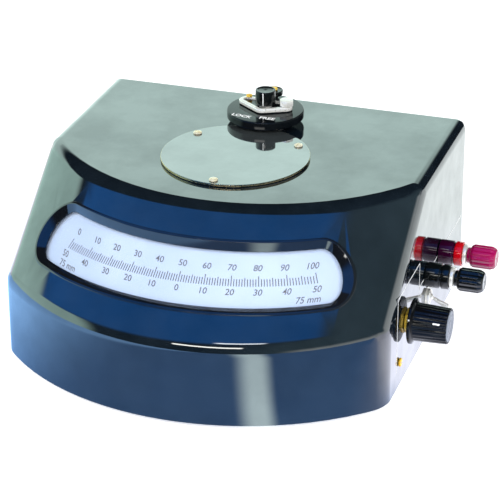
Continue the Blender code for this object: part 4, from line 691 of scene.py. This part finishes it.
def make_case():
    case = case_form("case_moulding", 0, 26)
    add_modifier(case, "BEVEL", limit_method="WEIGHT", width=EDGE_RADIUS, segments=10)
    settled(case)
    wall = HALF_WIDTH - WALL / 2
    side_holes = [(5.1, RANGE_PLACE), (3.7, TOGGLE_PLACE)]
    side_holes += [(TERMINAL_BORE, (HALF_WIDTH, y, TERMINAL_Z)) for y in reversed(TERMINALS.values())]
    side_holes.append((1.5, PANEL_SCREW_PLACE))
    half_width, half_height = INLET_HALF_WIDTH + INLET_GAP, INLET_HALF_HEIGHT + INLET_GAP
    carved(
        case,
        case_form("room", WALL, 60),
        window_slice("window_cut", -0.0003, -0.002, WALL + 0.002),
        hole(7.8, (0, HEAD_Y, TOP_Z - WALL / 2), UP),
        *[hole(radius, (wall, y, z), OUT) for radius, (_, y, z) in side_holes],
        block("inlet_cut", (INLET_X - half_width, BACK_Y - 2 * WALL, INLET_Z - half_height),
              (INLET_X + half_width, BACK_Y + WALL, INLET_Z + half_height)),
    )
    shaded(case, 30)
    add_modifier(case, "WEIGHTED_NORMAL", keep_sharp=True, weight=80)
    settled(case)
    given_place(case, "case", INSTRUMENT, ["case_shell"])


def make_surround():
    """The funnel round the window: soft outer lip, sloping wall, thin inner lip and flange."""
    section = [(-0.7, -0.02), (-0.5, -0.45), (1.0, -0.5), (5.1, 2.9), (5.1, 3.7), (2.6, 3.7), (2.6, 6.5),
               (-3.5, 6.5), (-3.5, 4.35), (-0.1, 4.35), (-0.1, -0.02)]
    line = [point * MM for point in rounded_line(section, 0.45, True)]
    shape = bmesh.new()
    rows = [[shape.verts.new(slope_point(x, z, p.y)) for x, z in window_outline(p.x)] for p in line]
    for k, row in enumerate(rows):
        skin(shape, row, rows[(k + 1) % len(rows)])
    surround = named_object("window_surround", shape)
    finish_piece(surround, "surround", nodes=["window_bezel"], sharp=50)


def scale_place(x, z, lift):
    """A place on the scale's face by the height z it has there, with its directions."""
    guess = z
    for _ in range(5):
        point, *axes = slope_axes(x, guess)
        face = point - axes[0] * (SCALE_DEPTH - lift)
        guess += z - face.z
    return face, *axes


def on_row(row, mark):
    """The (x, z) of a division's mark on a row with its rise, tilt, spread and shift."""
    rise, tilt, spread, shift = row
    x = mark * DIVISION * spread + shift
    return x, TICK_Z + rise + tilt * x


def make_scale():
    sheet = window_slice("window_pane", FRAME_INSET, GLASS_DEPTH, GLASS_DEPTH + 0.001)
    finish_piece(sheet, "glass", nodes=["window_glass"])
    card = window_slice("opal_scale_plate", FRAME_INSET, SCALE_DEPTH, SCALE_DEPTH + 0.001)
    finish_piece(card, "card", nodes=["scale_plate"])
    half_stroke = 0.27 * MM
    stroke = block("stroke", (-half_stroke, 0, 0), (half_stroke, TICK, 0.05 * MM))
    places = [scale_place(*on_row(TICK_ROW, mark), 0.02 * MM)[:3] for mark in range(-50, 51)]
    ticks = on_points("scale_divisions", stroke, places, "ink", 5, 10, 1.18, 1.45)
    finish_piece(ticks, "ink")
    for number, mark in enumerate(range(-50, 51, 10)):
        write_on_scale(f"scale_number_upper_{number}", str(mark + 50), *on_row(UPPER_ROW, mark))
        write_on_scale(f"scale_number_lower_{number}", str(abs(mark)), *on_row(LOWER_ROW, mark))
    write_on_scale("scale_length_left", "75 mm", -0.0751, TICK_Z - 0.0059)
    write_on_scale("scale_length_right", "75 mm", 0.0740, TICK_Z - 0.0053, 3.9)


def lettering(name, text, size, thickness, stroke):
    """Plain sans letters as a flat mesh about the origin, sizes in millimetres."""
    curve = bpy.data.curves.new(name, "FONT")
    curve.body = text
    curve.size = size * MM / CAPITAL_SHARE
    curve.align_x = "CENTER"
    curve.align_y = "CENTER"
    curve.extrude = thickness * MM / 2
    curve.offset = stroke * MM
    curve.resolution_u = 4
    source = linked(name, curve)
    graph = bpy.context.evaluated_depsgraph_get()
    mesh = bpy.data.meshes.new_from_object(source.evaluated_get(graph))
    bpy.data.objects.remove(source, do_unlink=True)
    return linked(name, mesh)


def write_on_scale(name, text, x, z, size=NUMBER_SIZE):
    """Letters bent along the scale's face, a hair above it."""
    lift = 0.03 * MM
    made = lettering(name, text, size, 0.05, 0.06)
    point, outward, across, upward = scale_place(x, z, lift)
    axes = Matrix((across, upward, outward)).transposed().to_4x4()
    made.data.transform(Matrix.Translation(point) @ axes)
    for vertex in made.data.vertices:
        offset = vertex.co - point
        along, up, out = offset.dot(across), offset.dot(upward), offset.dot(outward)
        spot, facing, *_ = scale_place(x + along * across.x, z + up * upward.z, lift)
        vertex.co = spot + facing * out
    made.data.update()
    finish_piece(made, "ink")


# Top of the case


def make_nameplate():
    low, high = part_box("nameplate")
    middle = (0, (low.y + high.y) / 2, low.z)
    thick = (high.z - low.z) / MM
    radius = (high.x - low.x) / 2 / MM
    profile = [(0, 0), (radius - 0.4, 0), (radius - 0.4, 0.25), (radius, 0.3), (radius, 0.75),
               (radius - 0.25, 0.8), (radius - 0.25, 0.95), (radius, 1.0), (radius, thick - 0.1),
               (radius - 0.12, thick), (radius - 0.7, thick), (0, thick)]
    plate = put(turned("round_nameplate", profile, 0.05, 192, steps=2), middle)
    finish_piece(plate, ["plate", "gilt"], nodes=["nameplate"])
    inner = (radius - 0.2) * MM
    two_finishes(plate, lambda face: math.hypot(face.center.x, face.center.y - middle[1]) > inner)
    head = slotted("head_blank", 2.6, 1.3, 0.6, 0.7, 0.5, 4.0, 1.2)
    ring = 0.0395
    places = []
    for share, turn in ((-0.25, 0.5), (0.10, 1.3), (0.40, -0.4)):
        angle = 2 * math.pi * share
        spot = (ring * math.cos(angle), middle[1] + ring * math.sin(angle), high.z + 0.0001)
        places.append((spot, UP, (math.cos(turn), math.sin(turn), 0)))
    screws = on_points("nameplate_fixing_screws", head, places, "pale_brass")
    finish_piece(screws, "pale_brass", nodes=[f"nameplate_screw_{k}" for k in (1, 2, 3)])


def lever_outline(inset, steps=8):
    shares = ((-0.053, -1.0), (0.974, -0.048), (0.763, 0.619), (-0.842, 0.971), (-1.026, 0.286))
    corners = [Vector((0.0190 * x, 0.0105 * y)) for x, y in shares]
    radius = 0.0045
    outline = []
    for k, corner in enumerate(corners):
        after = corners[(k + 1) % len(corners)]
        first = (corner - corners[k - 1]).normalized().orthogonal()
        second = (after - corner).normalized().orthogonal()
        centre = corner + radius * (first + second) / (1 + first.dot(second))
        for step in range(steps + 1):
            inward = first.lerp(second, step / steps).normalized()
            outline.append(centre - (radius - inset) * inward)
    return [(point.x, point.y + HEAD_Y) for point in outline]


def make_head_disc():
    """The tube that carries the head, and the disc with its two marks."""
    axis = (0, HEAD_Y, 0)
    base, top = ends("suspension_tube", 2)
    case_top = TOP_Z / MM + 0.3
    tube = [(3.6, base), (7.5, base), (7.5, case_top), (12.5, case_top), (12.5, case_top + 2.9),
            (4.0, case_top + 2.9), (4.0, top), (1.9, top), (1.9, case_top + 2.9), (3.6, case_top + 2.9)]
    made = put(turned("suspension_tube_turned", tube, 0.25, 96, True), axis)
    finish_piece(made, "nickel", nodes=["suspension_tube"])

    base, top = ends("head_disc", 2)
    disc = [(4.3, base), (23.7, base), (23.7, top), (4.3, top)]
    made = put(turned("head_disc_moulded", disc, 0.7, 160, True, 6), axis)
    finish_piece(made, "disc", nodes=["head_disc"], sharp=40)
    for text, x, y, turn in (("LOCK", -10.4, -15.6, -0.115), ("FREE", 5.8, -15.0, 0.02)):
        made = lettering(f"mark_{text.lower()}", text, 3.4, 0.06, 0.12)
        put(made, (x * MM, HEAD_Y + y * MM, (top + 0.02) * MM), UP, turn)
        finish_piece(made, "filled_white")


def make_lever():
    low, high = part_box("lock_rim")
    seat = high.z + 0.0003
    rim = raised("lever_rim", lever_outline(0), low.z, high.z, lever_outline(0.0028))
    softened(rim, 0.45 * MM, 4)
    finish_piece(rim, "nickel", "lock_lever", ["lock_rim"], 50)
    low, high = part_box("lock_hub")
    hub = raised("lever_hub", lever_outline(0.0030), low.z, high.z)
    carved(hub, put(turned("bore", [(0, -9), (4.3, -9), (4.3, 9), (0, 9)], 0, 48), (0, HEAD_Y, high.z)))
    softened(hub, 0.25 * MM, 3)
    finish_piece(hub, "disc", "lock_lever", ["lock_hub"], 50)
    nut = put(hexagon("lever_hexagon", 4.6, 3.6, 0, 0.7), (0.0130, HEAD_Y + 0.0017, seat), UP, 0.35)
    finish_piece(nut, "nickel", "lock_lever", ["lock_nut"])
    screw = slotted("lever_end_screw", 1.9, 1.4, 0.5, 0.6, 0.5)
    put(screw, (-0.0132, HEAD_Y + 0.0083, seat), UP, 0.9)
    finish_piece(screw, "brass", "lock_lever", ["lock_screw"])


def make_pillar():
    low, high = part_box("rear_pillar")
    tall = (high.z - low.z) / MM
    place = (0.0005, HEAD_Y + 0.0145, low.z)
    pillar = [(0, 0), (3.6, 0), (3.6, 0.8), (3.0, 1.1), (3.0, tall - 3.0), (5.9, tall - 3.0), (5.9, tall),
              (5.0, tall), (4.7, tall - 0.35), (0, tall - 0.35)]
    made = put(turned("capped_pillar", pillar, 0.4, 96), place)
    finish_piece(made, "terminal", nodes=["rear_pillar"], sharp=40)
    screw = slotted("pillar_top_screw", 2.6, 1.3, 0.6, 0.7, 0.6)
    put(screw, (*place[:2], high.z + 0.0001), UP, 0.5)
    finish_piece(screw, "brass", nodes=["pillar_screw"])


def make_zero_knob():
    low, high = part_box("zero_knob")
    tall = (high.z - low.z) / MM
    knob = [(1.9, 0), (6.15, 0), (6.15, tall), (5.3, tall), (4.6, tall - 0.45), (2.4, tall - 0.6),
            (0, tall - 0.65), (0, tall - 2.4), (1.9, tall - 2.4)]
    made = turned("zero_knob_moulded", knob, 0.35, 192, True)
    fluted(made, "terminal", 48, Depth=0.10, Low=0.8, High=tall - 1.2, Fade=0.5, Least_Radius=6.0)
    put(made, (0, HEAD_Y, low.z))
    finish_piece(made, "terminal", "zero_setter", ["zero_knob"], 40)
    line = block("zero_line", (-0.28 * MM, -6.2 * MM, 0.5 * MM), (0.28 * MM, -6.0 * MM, (tall - 0.4) * MM))
    put(softened(line, 0.04 * MM, 2), (0, HEAD_Y, low.z), UP, 0.06)
    finish_piece(line, "filled_white", "zero_setter")


# Right side


def make_range_switch():
    place = RANGE_PLACE
    nut = put(hexagon("range_hexagon", 7.7, 2.4, 5.1, 0.5), (place[0] + 0.0003, *place[1:]), OUT, 0.2)
    finish_piece(nut, "brass", nodes=["range_nut"])
    low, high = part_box("range_knob")
    start = low.x
    tall = (high.x - low.x) / MM
    knob = [(3.3, 0), (13.4, 0), (13.4, 1.7), (11.6, 2.6), (11.2, 3.2), (10.5, tall), (9.6, tall),
            (9.45, tall - 1.0), (0, tall - 1.0), (0, tall - 5.6), (3.3, tall - 5.6)]
    made = turned("range_knob_moulded", knob, 0.35, 384, True)
    fluted(made, "knob", 24, Depth=0.55, Low=3.6, High=tall + 3, Fade=1.2, Least_Radius=9.9)
    put(made, (start, *place[1:]), OUT)
    finish_piece(made, "knob", "range_selector", ["range_knob"], 40)
    rings = [(0, 0.05), (9.2, 0.05), (9.2, 1.15), (7.6, 1.15), (7.4, 1.05), (6.9, 1.05), (6.7, 1.15),
             (4.2, 1.15), (4.0, 1.05), (3.6, 1.05), (3.4, 1.15), (0, 1.15)]
    cap = put(turned("range_knob_inlay", rings, 0.1, 128), (start + (tall - 1.0) * MM, *place[1:]), OUT)
    finish_piece(cap, "cap", "range_selector", ["range_knob_cap"])
    pointing = math.radians(-118)
    for name, near, far in (("index_on_skirt", (11.15, -0.45, 0.5), (13.48, 0.45, 1.5)),
                            ("index_on_grip", (10.55, -0.5, 14.6), (11.0, 0.5, 18.6))):
        line = softened(block(name, Vector(near) * MM, Vector(far) * MM), 0.06 * MM, 2)
        put(line, (start, *place[1:]), OUT, pointing)
        finish_piece(line, "filled_white", "range_selector")


def make_terminal(colour, y):
    place = (HALF_WIDTH, y, TERMINAL_Z)
    groove = 8.8
    collar = [(2.3, 0.3), (7.5, 0.3), (7.5, groove), (6.7, groove), (6.7, groove + 1.2), (7.5, groove + 1.2),
              (7.5, 14.5), (2.3, 14.5)]
    made = put(turned(f"{colour}_collar_turned", collar, 0.35, 96, True), place, OUT)
    # The red collar's inner part, by the wall, takes the darker copy of its red: painted shade, not a second
    # plastic.
    inner, outer = ("red_painted_shade", "bright_red") if colour == "red" else ("terminal", "terminal")
    finish_piece(made, [inner, outer], nodes=[f"{colour}_collar"])
    two_finishes(made, lambda face: face.center.x > place[0] + (groove + 0.6) * MM)
    start, end = ends(f"{colour}_stud", 0, HALF_WIDTH)
    stud = [(0, start), (2.0, start), (2.0, -7.3), (5.0, -7.3), (5.0, -4.3), (2.0, -4.3), (2.0, end),
            (0, end)]
    made = put(turned(f"{colour}_stud_turned", stud, 0.2, 64), place, OUT)
    finish_piece(made, "nickel", nodes=[f"{colour}_stud"])
    start, end = ends(f"{colour}_clamp_ring", 0, HALF_WIDTH)
    ring = [(2.3, start), (6.5, start), (6.5, end), (4.6, end), (2.3, end - 0.4)]
    made = put(turned(f"{colour}_ring_turned", ring, 0.45, 96, True), place, OUT)
    finish_piece(made, "nickel", f"{colour}_ring", [f"{colour}_clamp_ring"])
    low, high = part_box(f"{colour}_head")
    tall = (high.x - low.x) / MM - 0.8
    head = [(2.3, 0), (4.8, 0), (4.8, 1.9), (6.1, 2.3), (7.1, 4.0), (7.1, tall - 3.2), (6.2, tall - 0.9),
            (5.0, tall), (4.2, tall - 0.2), (0, tall - 0.3), (0, tall - 7.0), (2.3, tall - 7.0)]
    made = turned(f"{colour}_head_moulded", head, 0.45, 256, True)
    finish = "red" if colour == "red" else "terminal"
    fluted(made, finish, 11, Depth=0.60, Low=2.9, High=tall - 0.6, Fade=1.0, Least_Radius=5.6)
    put(made, (low.x, y, TERMINAL_Z), OUT)
    finish_piece(made, finish, f"{colour}_screw_head", [f"{colour}_head"], 40)


def make_toggle():
    place = TOGGLE_PLACE
    low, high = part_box("toggle_body")
    reach = (high.x - place[0]) / MM
    body = block("toggle_case", (low.x, low.y, low.z), (place[0] - 0.0043, high.y, high.z))
    softened(body, 0.5 * MM, 3)
    finish_piece(body, "board")
    bush = [(2.3, -6.0), (3.4, -6.0), (3.4, reach - 0.3), (3.1, reach), (2.5, reach), (2.3, reach - 0.2)]
    made = put(turned("toggle_bush", bush, 0.1, 64, True), place, OUT)
    finish_piece(made, "nickel", nodes=["toggle_body"])
    washer = [(3.5, 0.05), (6.1, 0.05), (6.1, 0.35), (3.5, 0.35)]
    made = put(turned("toggle_washer", washer, 0.1, 64, True), place, OUT)
    finish_piece(made, "nickel")
    nut = put(hexagon("toggle_hexagon", 5.2, 2.0, 3.5, 0.5), (place[0] + 0.0003, *place[1:]), OUT, 0.5)
    finish_piece(nut, "nickel", nodes=["toggle_nut"])
    ball = [(2.0 * math.sin(math.pi * k / 12), -2.0 * math.cos(math.pi * k / 12)) for k in range(10)]
    bat = [(1.0, 2.0), (1.25, 6.5), (1.6, 11.2), (1.5, 12.0), (1.0, 12.55), (0, 12.6)]
    tilt = math.radians(25)
    made = turned("toggle_bat", [(0, -2.0), *ball[1:], *bat], 0.2, 64)
    put(made, (HALF_WIDTH + 0.002, *place[1:]), (math.cos(tilt), 0, -math.sin(tilt)))
    finish_piece(made, "nickel", "lamp_switch_lever", ["toggle_lever"], 40)


def make_wall_lines():
    """The thin filled lines cut round the range knob and through the terminals."""
    runs = [((-43, 8), (-43, 55.2)), ((-43, 55.2), (6, 55.2)), ((6, 55.2), (6, 30.7)),
            ((6, 39.2), (111, 39.2))]
    half = 0.40
    for k, ((y1, z1), (y2, z2)) in enumerate(runs):
        low = (HALF_WIDTH - 0.02 * MM, (min(y1, y2) - half) * MM, BASE_Z + (min(z1, z2) - half) * MM)
        high = (HALF_WIDTH + 0.06 * MM, (max(y1, y2) + half) * MM, BASE_Z + (max(z1, z2) + half) * MM)
        line = softened(block(f"wall_line_{k + 1}", low, high), 0.03 * MM, 1)
        finish_piece(line, "filled_white")


def make_side_screw():
    start, _ = ends("panel_screw", 0, PANEL_SCREW_PLACE[0])
    head = slotted("side_fixing_screw", 2.6, 1.3, 0.6, 0.7, 0.4, -start, 1.2)
    put(head, PANEL_SCREW_PLACE, OUT, 1.1)
    finish_piece(head, "brass", nodes=["panel_screw"])


# Back and underside


def make_inlet():
    low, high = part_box("supply_inlet")
    face = high.y
    plate = block("inlet_plate", (low.x, face - 0.002, low.z), (high.x, face, high.z))
    softened(plate, 0.9 * MM, 5)
    body = block("inlet_body", (INLET_X - INLET_HALF_WIDTH, low.y, INLET_Z - INLET_HALF_HEIGHT),
                 (INLET_X + INLET_HALF_WIDTH, face - 0.001, INLET_Z + INLET_HALF_HEIGHT))
    carved(plate, body, operation="UNION")
    well = [(0, -12), (1.9, -12), (1.9, -0.5), (2.4, 0), (2.4, 2), (0, 2)]
    contact = [(0, -11.9), (0.9, -11.9), (0.9, -2.2), (0, -1.6)]
    for side, offset in (("left", -0.005), ("right", 0.005)):
        at = (INLET_X + offset, face, INLET_Z)
        carved(plate, put(turned("well", well, 0, 48), at, BACK))
        pin = put(turned(f"inlet_contact_{side}", contact, 0.3, 32), at, BACK)
        finish_piece(pin, "brass")
    finish_piece(plate, "knob", nodes=["supply_inlet"])


def make_feet():
    for name in ("front_left", "front_right", "back"):
        low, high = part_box(f"foot_{name}")
        middle = ((low.x + high.x) / 2, (low.y + high.y) / 2, BASE_Z)
        deep = (low.z - BASE_Z) / MM
        foot = [(4.0, deep), (7.5, deep), (8.0, -0.3), (2.3, -0.3), (2.3, deep + 2.6), (4.0, deep + 2.6)]
        made = put(turned(f"rubber_foot_{name}", foot, 0.5, 64, True), middle)
        finish_piece(made, "rubber", nodes=[f"foot_{name}"])
        screw = slotted(f"foot_fixing_screw_{name}", 3.7, 1.8, 0.8, 0.9, 0.4)
        put(screw, (*middle[:2], BASE_Z + (deep + 2.3) * MM), -UP, 0.4)
        finish_piece(screw, "steel", nodes=[f"foot_screw_{name}"])


# Pieces that keep their solids

KEPT = {
    "steel": ("base_plate", "clamp_rod", "range_spindle"),
    "brass": ("zero_spindle",),
    "copper": ("upper_suspension", "moving_coil", "lower_suspension", "transformer_winding"),
    "aluminium": ("movement_frame",),
    "magnet": ("magnet", "pole_piece_left", "pole_piece_right", "iron_core"),
    "silvered": ("coil_mirror", "fixed_mirror"),
    "knob": ("lamp_house",),
    "board": ("lamp_socket", "range_switch"),
    "bulb": ("lamp_bulb", "condenser_lens"),
    "iron": ("transformer_core",),
}


def finish_kept():
    for finish, nodes in KEPT.items():
        for node in nodes:
            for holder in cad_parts[node].material_slots:
                holder.material = finishes[finish]


# Surroundings


def along(tree, place, direction):
    """How far a place lies along a direction."""
    dot = tree.nodes.new("ShaderNodeVectorMath")
    dot.operation = "DOT_PRODUCT"
    dot.inputs[1].default_value = direction
    tree.links.new(place, dot.inputs[0])
    return dot.outputs["Value"]


def band(tree, place, measure, start, end):
    """A soft step from 0 at the start to 1 at the end, along a direction or a ready measure."""
    value = along(tree, place, measure) if isinstance(measure, tuple) else measure
    step = add_node(tree, "ShaderNodeMapRange", Value=value, From_Min=start, From_Max=end)
    step.interpolation_type = "SMOOTHSTEP"
    return step.outputs["Result"]


def coloured(tree, place, ground, patches):
    """Colours laid one over another, each only where all its bands are at work."""
    seen = ground
    for colour, *bands in patches:
        steps = [band(tree, place, *limits) for limits in bands]
        mix = tree.nodes.new("ShaderNodeMix")
        mix.data_type = "RGBA"
        feed(tree, mix, Factor=reduce(partial(calculate, tree, "MULTIPLY"), steps), A=seen, B=colour)
        seen = mix.outputs["Result"]
    return seen


def either(tree, factor, first, second):
    """The first shader where the factor is 0, the second where it is 1."""
    mix = add_node(tree, "ShaderNodeMixShader", Fac=factor)
    for socket, shader in zip(mix.inputs[1:], (first, second)):
        tree.links.new(shader.outputs[0], socket)
    return mix


# Directions of the studio that polished surfaces see, and its colours with their bands
HIGH, RIGHT, FRONT = (0, 0, 1), (1, 0, 0), (0, -1, 0)
STUDIO_GROUND = (0.012, 0.016, 0.020)
STUDIO = {
    "dim right": ((0.14, 0.22, 0.25), ((1, -0.25, 0), 0.35, 0.75), (HIGH, 0.97, 0.85)),
    "blue above the front": ((0.04, 0.36, 1.25), ((-0.14, -1, 0), 0.04, 0.13),
                             ((-0.25, 0, 1), 0.58, 0.78), ((1, 0.9, 0), 0.48, 0.20)),
    "pale back": ((1.30, 1.72, 1.62), (HIGH, 0.50, 0.44), ((-0.45, 1, 0), 0.20, 0.42), (RIGHT, 0.24, 0.02)),
    "pale left": ((1.35, 2.00, 1.80), (HIGH, 0.50, 0.44), ((-1, 0, 0), 0.72, 0.84)),
    "pale low right": ((1.25, 1.35, 1.35), (HIGH, 0.22, 0.06), ((1, -0.15, 0), 0.60, 0.80)),
    "lamp": ((11, 11, 10.4), (RIGHT, -0.250, -0.225), (RIGHT, 0.250, 0.225), (HIGH, 0.39, 0.42),
             (HIGH, 0.49, 0.46), (FRONT, 0.2, 0.4)),
    "pane": ((8, 8.5, 9), ((0.16, -0.664, 0.73), 0.984, 0.993), (HIGH, 0.68, 0.71), (HIGH, 0.78, 0.75)),
}


def make_world():
    """Polished surfaces see the studio, others get even light, and the camera sees white."""
    world = bpy.data.worlds.new("studio")
    world.use_nodes = True
    bpy.context.scene.world = world
    tree = world.node_tree
    tree.nodes.clear()
    place = tree.nodes.new("ShaderNodeTexCoord").outputs["Generated"]
    seen = coloured(tree, place, STUDIO_GROUND, STUDIO.values())
    rays = tree.nodes.new("ShaderNodeLightPath").outputs
    gloss = add_node(tree, "ShaderNodeBackground", Color=seen)
    room = add_node(tree, "ShaderNodeBackground", Color=(0.95, 0.98, 1.0), Strength=0.55)
    white = add_node(tree, "ShaderNodeBackground", Color=(1, 1, 1))
    lit = either(tree, rays["Is Glossy Ray"], room, gloss)
    final = either(tree, rays["Is Camera Ray"], lit, white)
    add_node(tree, "ShaderNodeOutputWorld", Surface=final.outputs[0])


def make_floor():
    """A white floor that keeps the shadow; polished walls see it bluish in front and white behind."""
    shape = bmesh.new()
    bmesh.ops.create_grid(shape, x_segments=1, y_segments=1, size=6)
    floor = put(named_object("floor", shape), (0, 0, FLOOR_Z))
    material = bpy.data.materials.new("floor_white")
    material.use_nodes = True
    tree = material.node_tree
    work = partial(calculate, tree)
    rays = tree.nodes.new("ShaderNodeLightPath").outputs
    bright = work("MULTIPLY", rays["Is Camera Ray"], 0.60)
    shader = feed(tree, tree.nodes["Principled BSDF"], Base_Color=(0.86, 0.86, 0.87), Roughness=0.9,
                  Specular_IOR_Level=0, Emission_Color=(1, 1, 1), Emission_Strength=bright)
    place = tree.nodes.new("ShaderNodeTexCoord").outputs["Object"]
    reach = work("MAXIMUM", work("SUBTRACT", along(tree, place, FRONT), 0.03), 0.01)
    spread = work("DIVIDE", work("SUBTRACT", along(tree, place, (1, 0.335, 0)), 0.021), reach)
    behind = (0.3, 1, 0)
    patches = (
        ((0.75, 1.45, 2.6), ((-1, 0, 0), 0.06, 0.20)),
        ((3.2, 4.0, 4.2), (spread, -0.20, -0.03), (spread, 0.17, 0.03), (FRONT, 0.04, 0.08)),
        ((1.55, 1.60, 1.85), (behind, -0.06, 0.02)),
        ((1.36, 1.46, 1.46), (behind, 0.06, 0.26)),
    )
    glow = add_node(tree, "ShaderNodeEmission", Color=coloured(tree, place, (0.22, 0.48, 1.05), patches))
    final = either(tree, rays["Is Glossy Ray"], shader, glow)
    feed(tree, tree.nodes["Material Output"], Surface=final.outputs[0])
    floor.data.materials.append(material)


def area_light(name, at, target, side, power):
    """A soft square light that polished surfaces don't mirror."""
    lamp = bpy.data.lights.new(name, "AREA")
    lamp.size = side
    lamp.energy = power
    made = linked(name, lamp)
    made.location = at
    made.rotation_euler = (Vector(target) - Vector(at)).to_track_quat("-Z", "Y").to_euler()
    made.visible_glossy = False


def make_camera():
    """The photograph's viewpoint: a long lens from the front right, a little above."""
    azimuth, elevation, roll = (math.radians(angle) for angle in (18.46, 25.37, -0.26))
    distance, sensor, lens_in_widths = 1.3738, 36, 2236 / 500
    level = Vector((math.sin(azimuth), -math.cos(azimuth), 0))
    back = level * math.cos(elevation) + UP * math.sin(elevation)
    right = Vector((math.cos(azimuth), math.sin(azimuth), 0))
    up = back.cross(right)
    across = math.cos(roll) * right + math.sin(roll) * up
    upward = -math.sin(roll) * right + math.cos(roll) * up
    target = Vector((0, 0.0433, BASE_Z + 0.0467))
    camera = linked("camera", bpy.data.cameras.new("camera"))
    axes = Matrix((across, upward, back)).transposed().to_4x4()
    camera.matrix_world = Matrix.Translation(target + back * distance) @ axes
    camera.data.sensor_width = sensor
    camera.data.lens = lens_in_widths * sensor
    camera.data.shift_x = 0.0003
    camera.data.shift_y = -0.052
    camera.data.clip_start = 0.05
    camera.data.clip_end = 20
    bpy.context.scene.camera = camera


make_camera()
make_case()
make_surround()
make_scale()
make_nameplate()
make_head_disc()
make_lever()
make_pillar()
make_zero_knob()
make_range_switch()
for colour, y in TERMINALS.items():
    make_terminal(colour, y)
make_toggle()
make_wall_lines()
make_side_screw()
make_inlet()
make_feet()
finish_kept()
make_world()
make_floor()
area_light("key", (-0.9, -1.1, 1.5), (0, 0, 0.05), 1.2, 22)
area_light("low", (0.45, -1.3, 0.40), (0.12, -0.02, 0.04), 0.5, 6)
area_light("fill", (1.4, -0.6, 0.9), (0, 0, 0.05), 1.0, 14)
bpy.context.scene.view_settings.view_transform = "Standard"
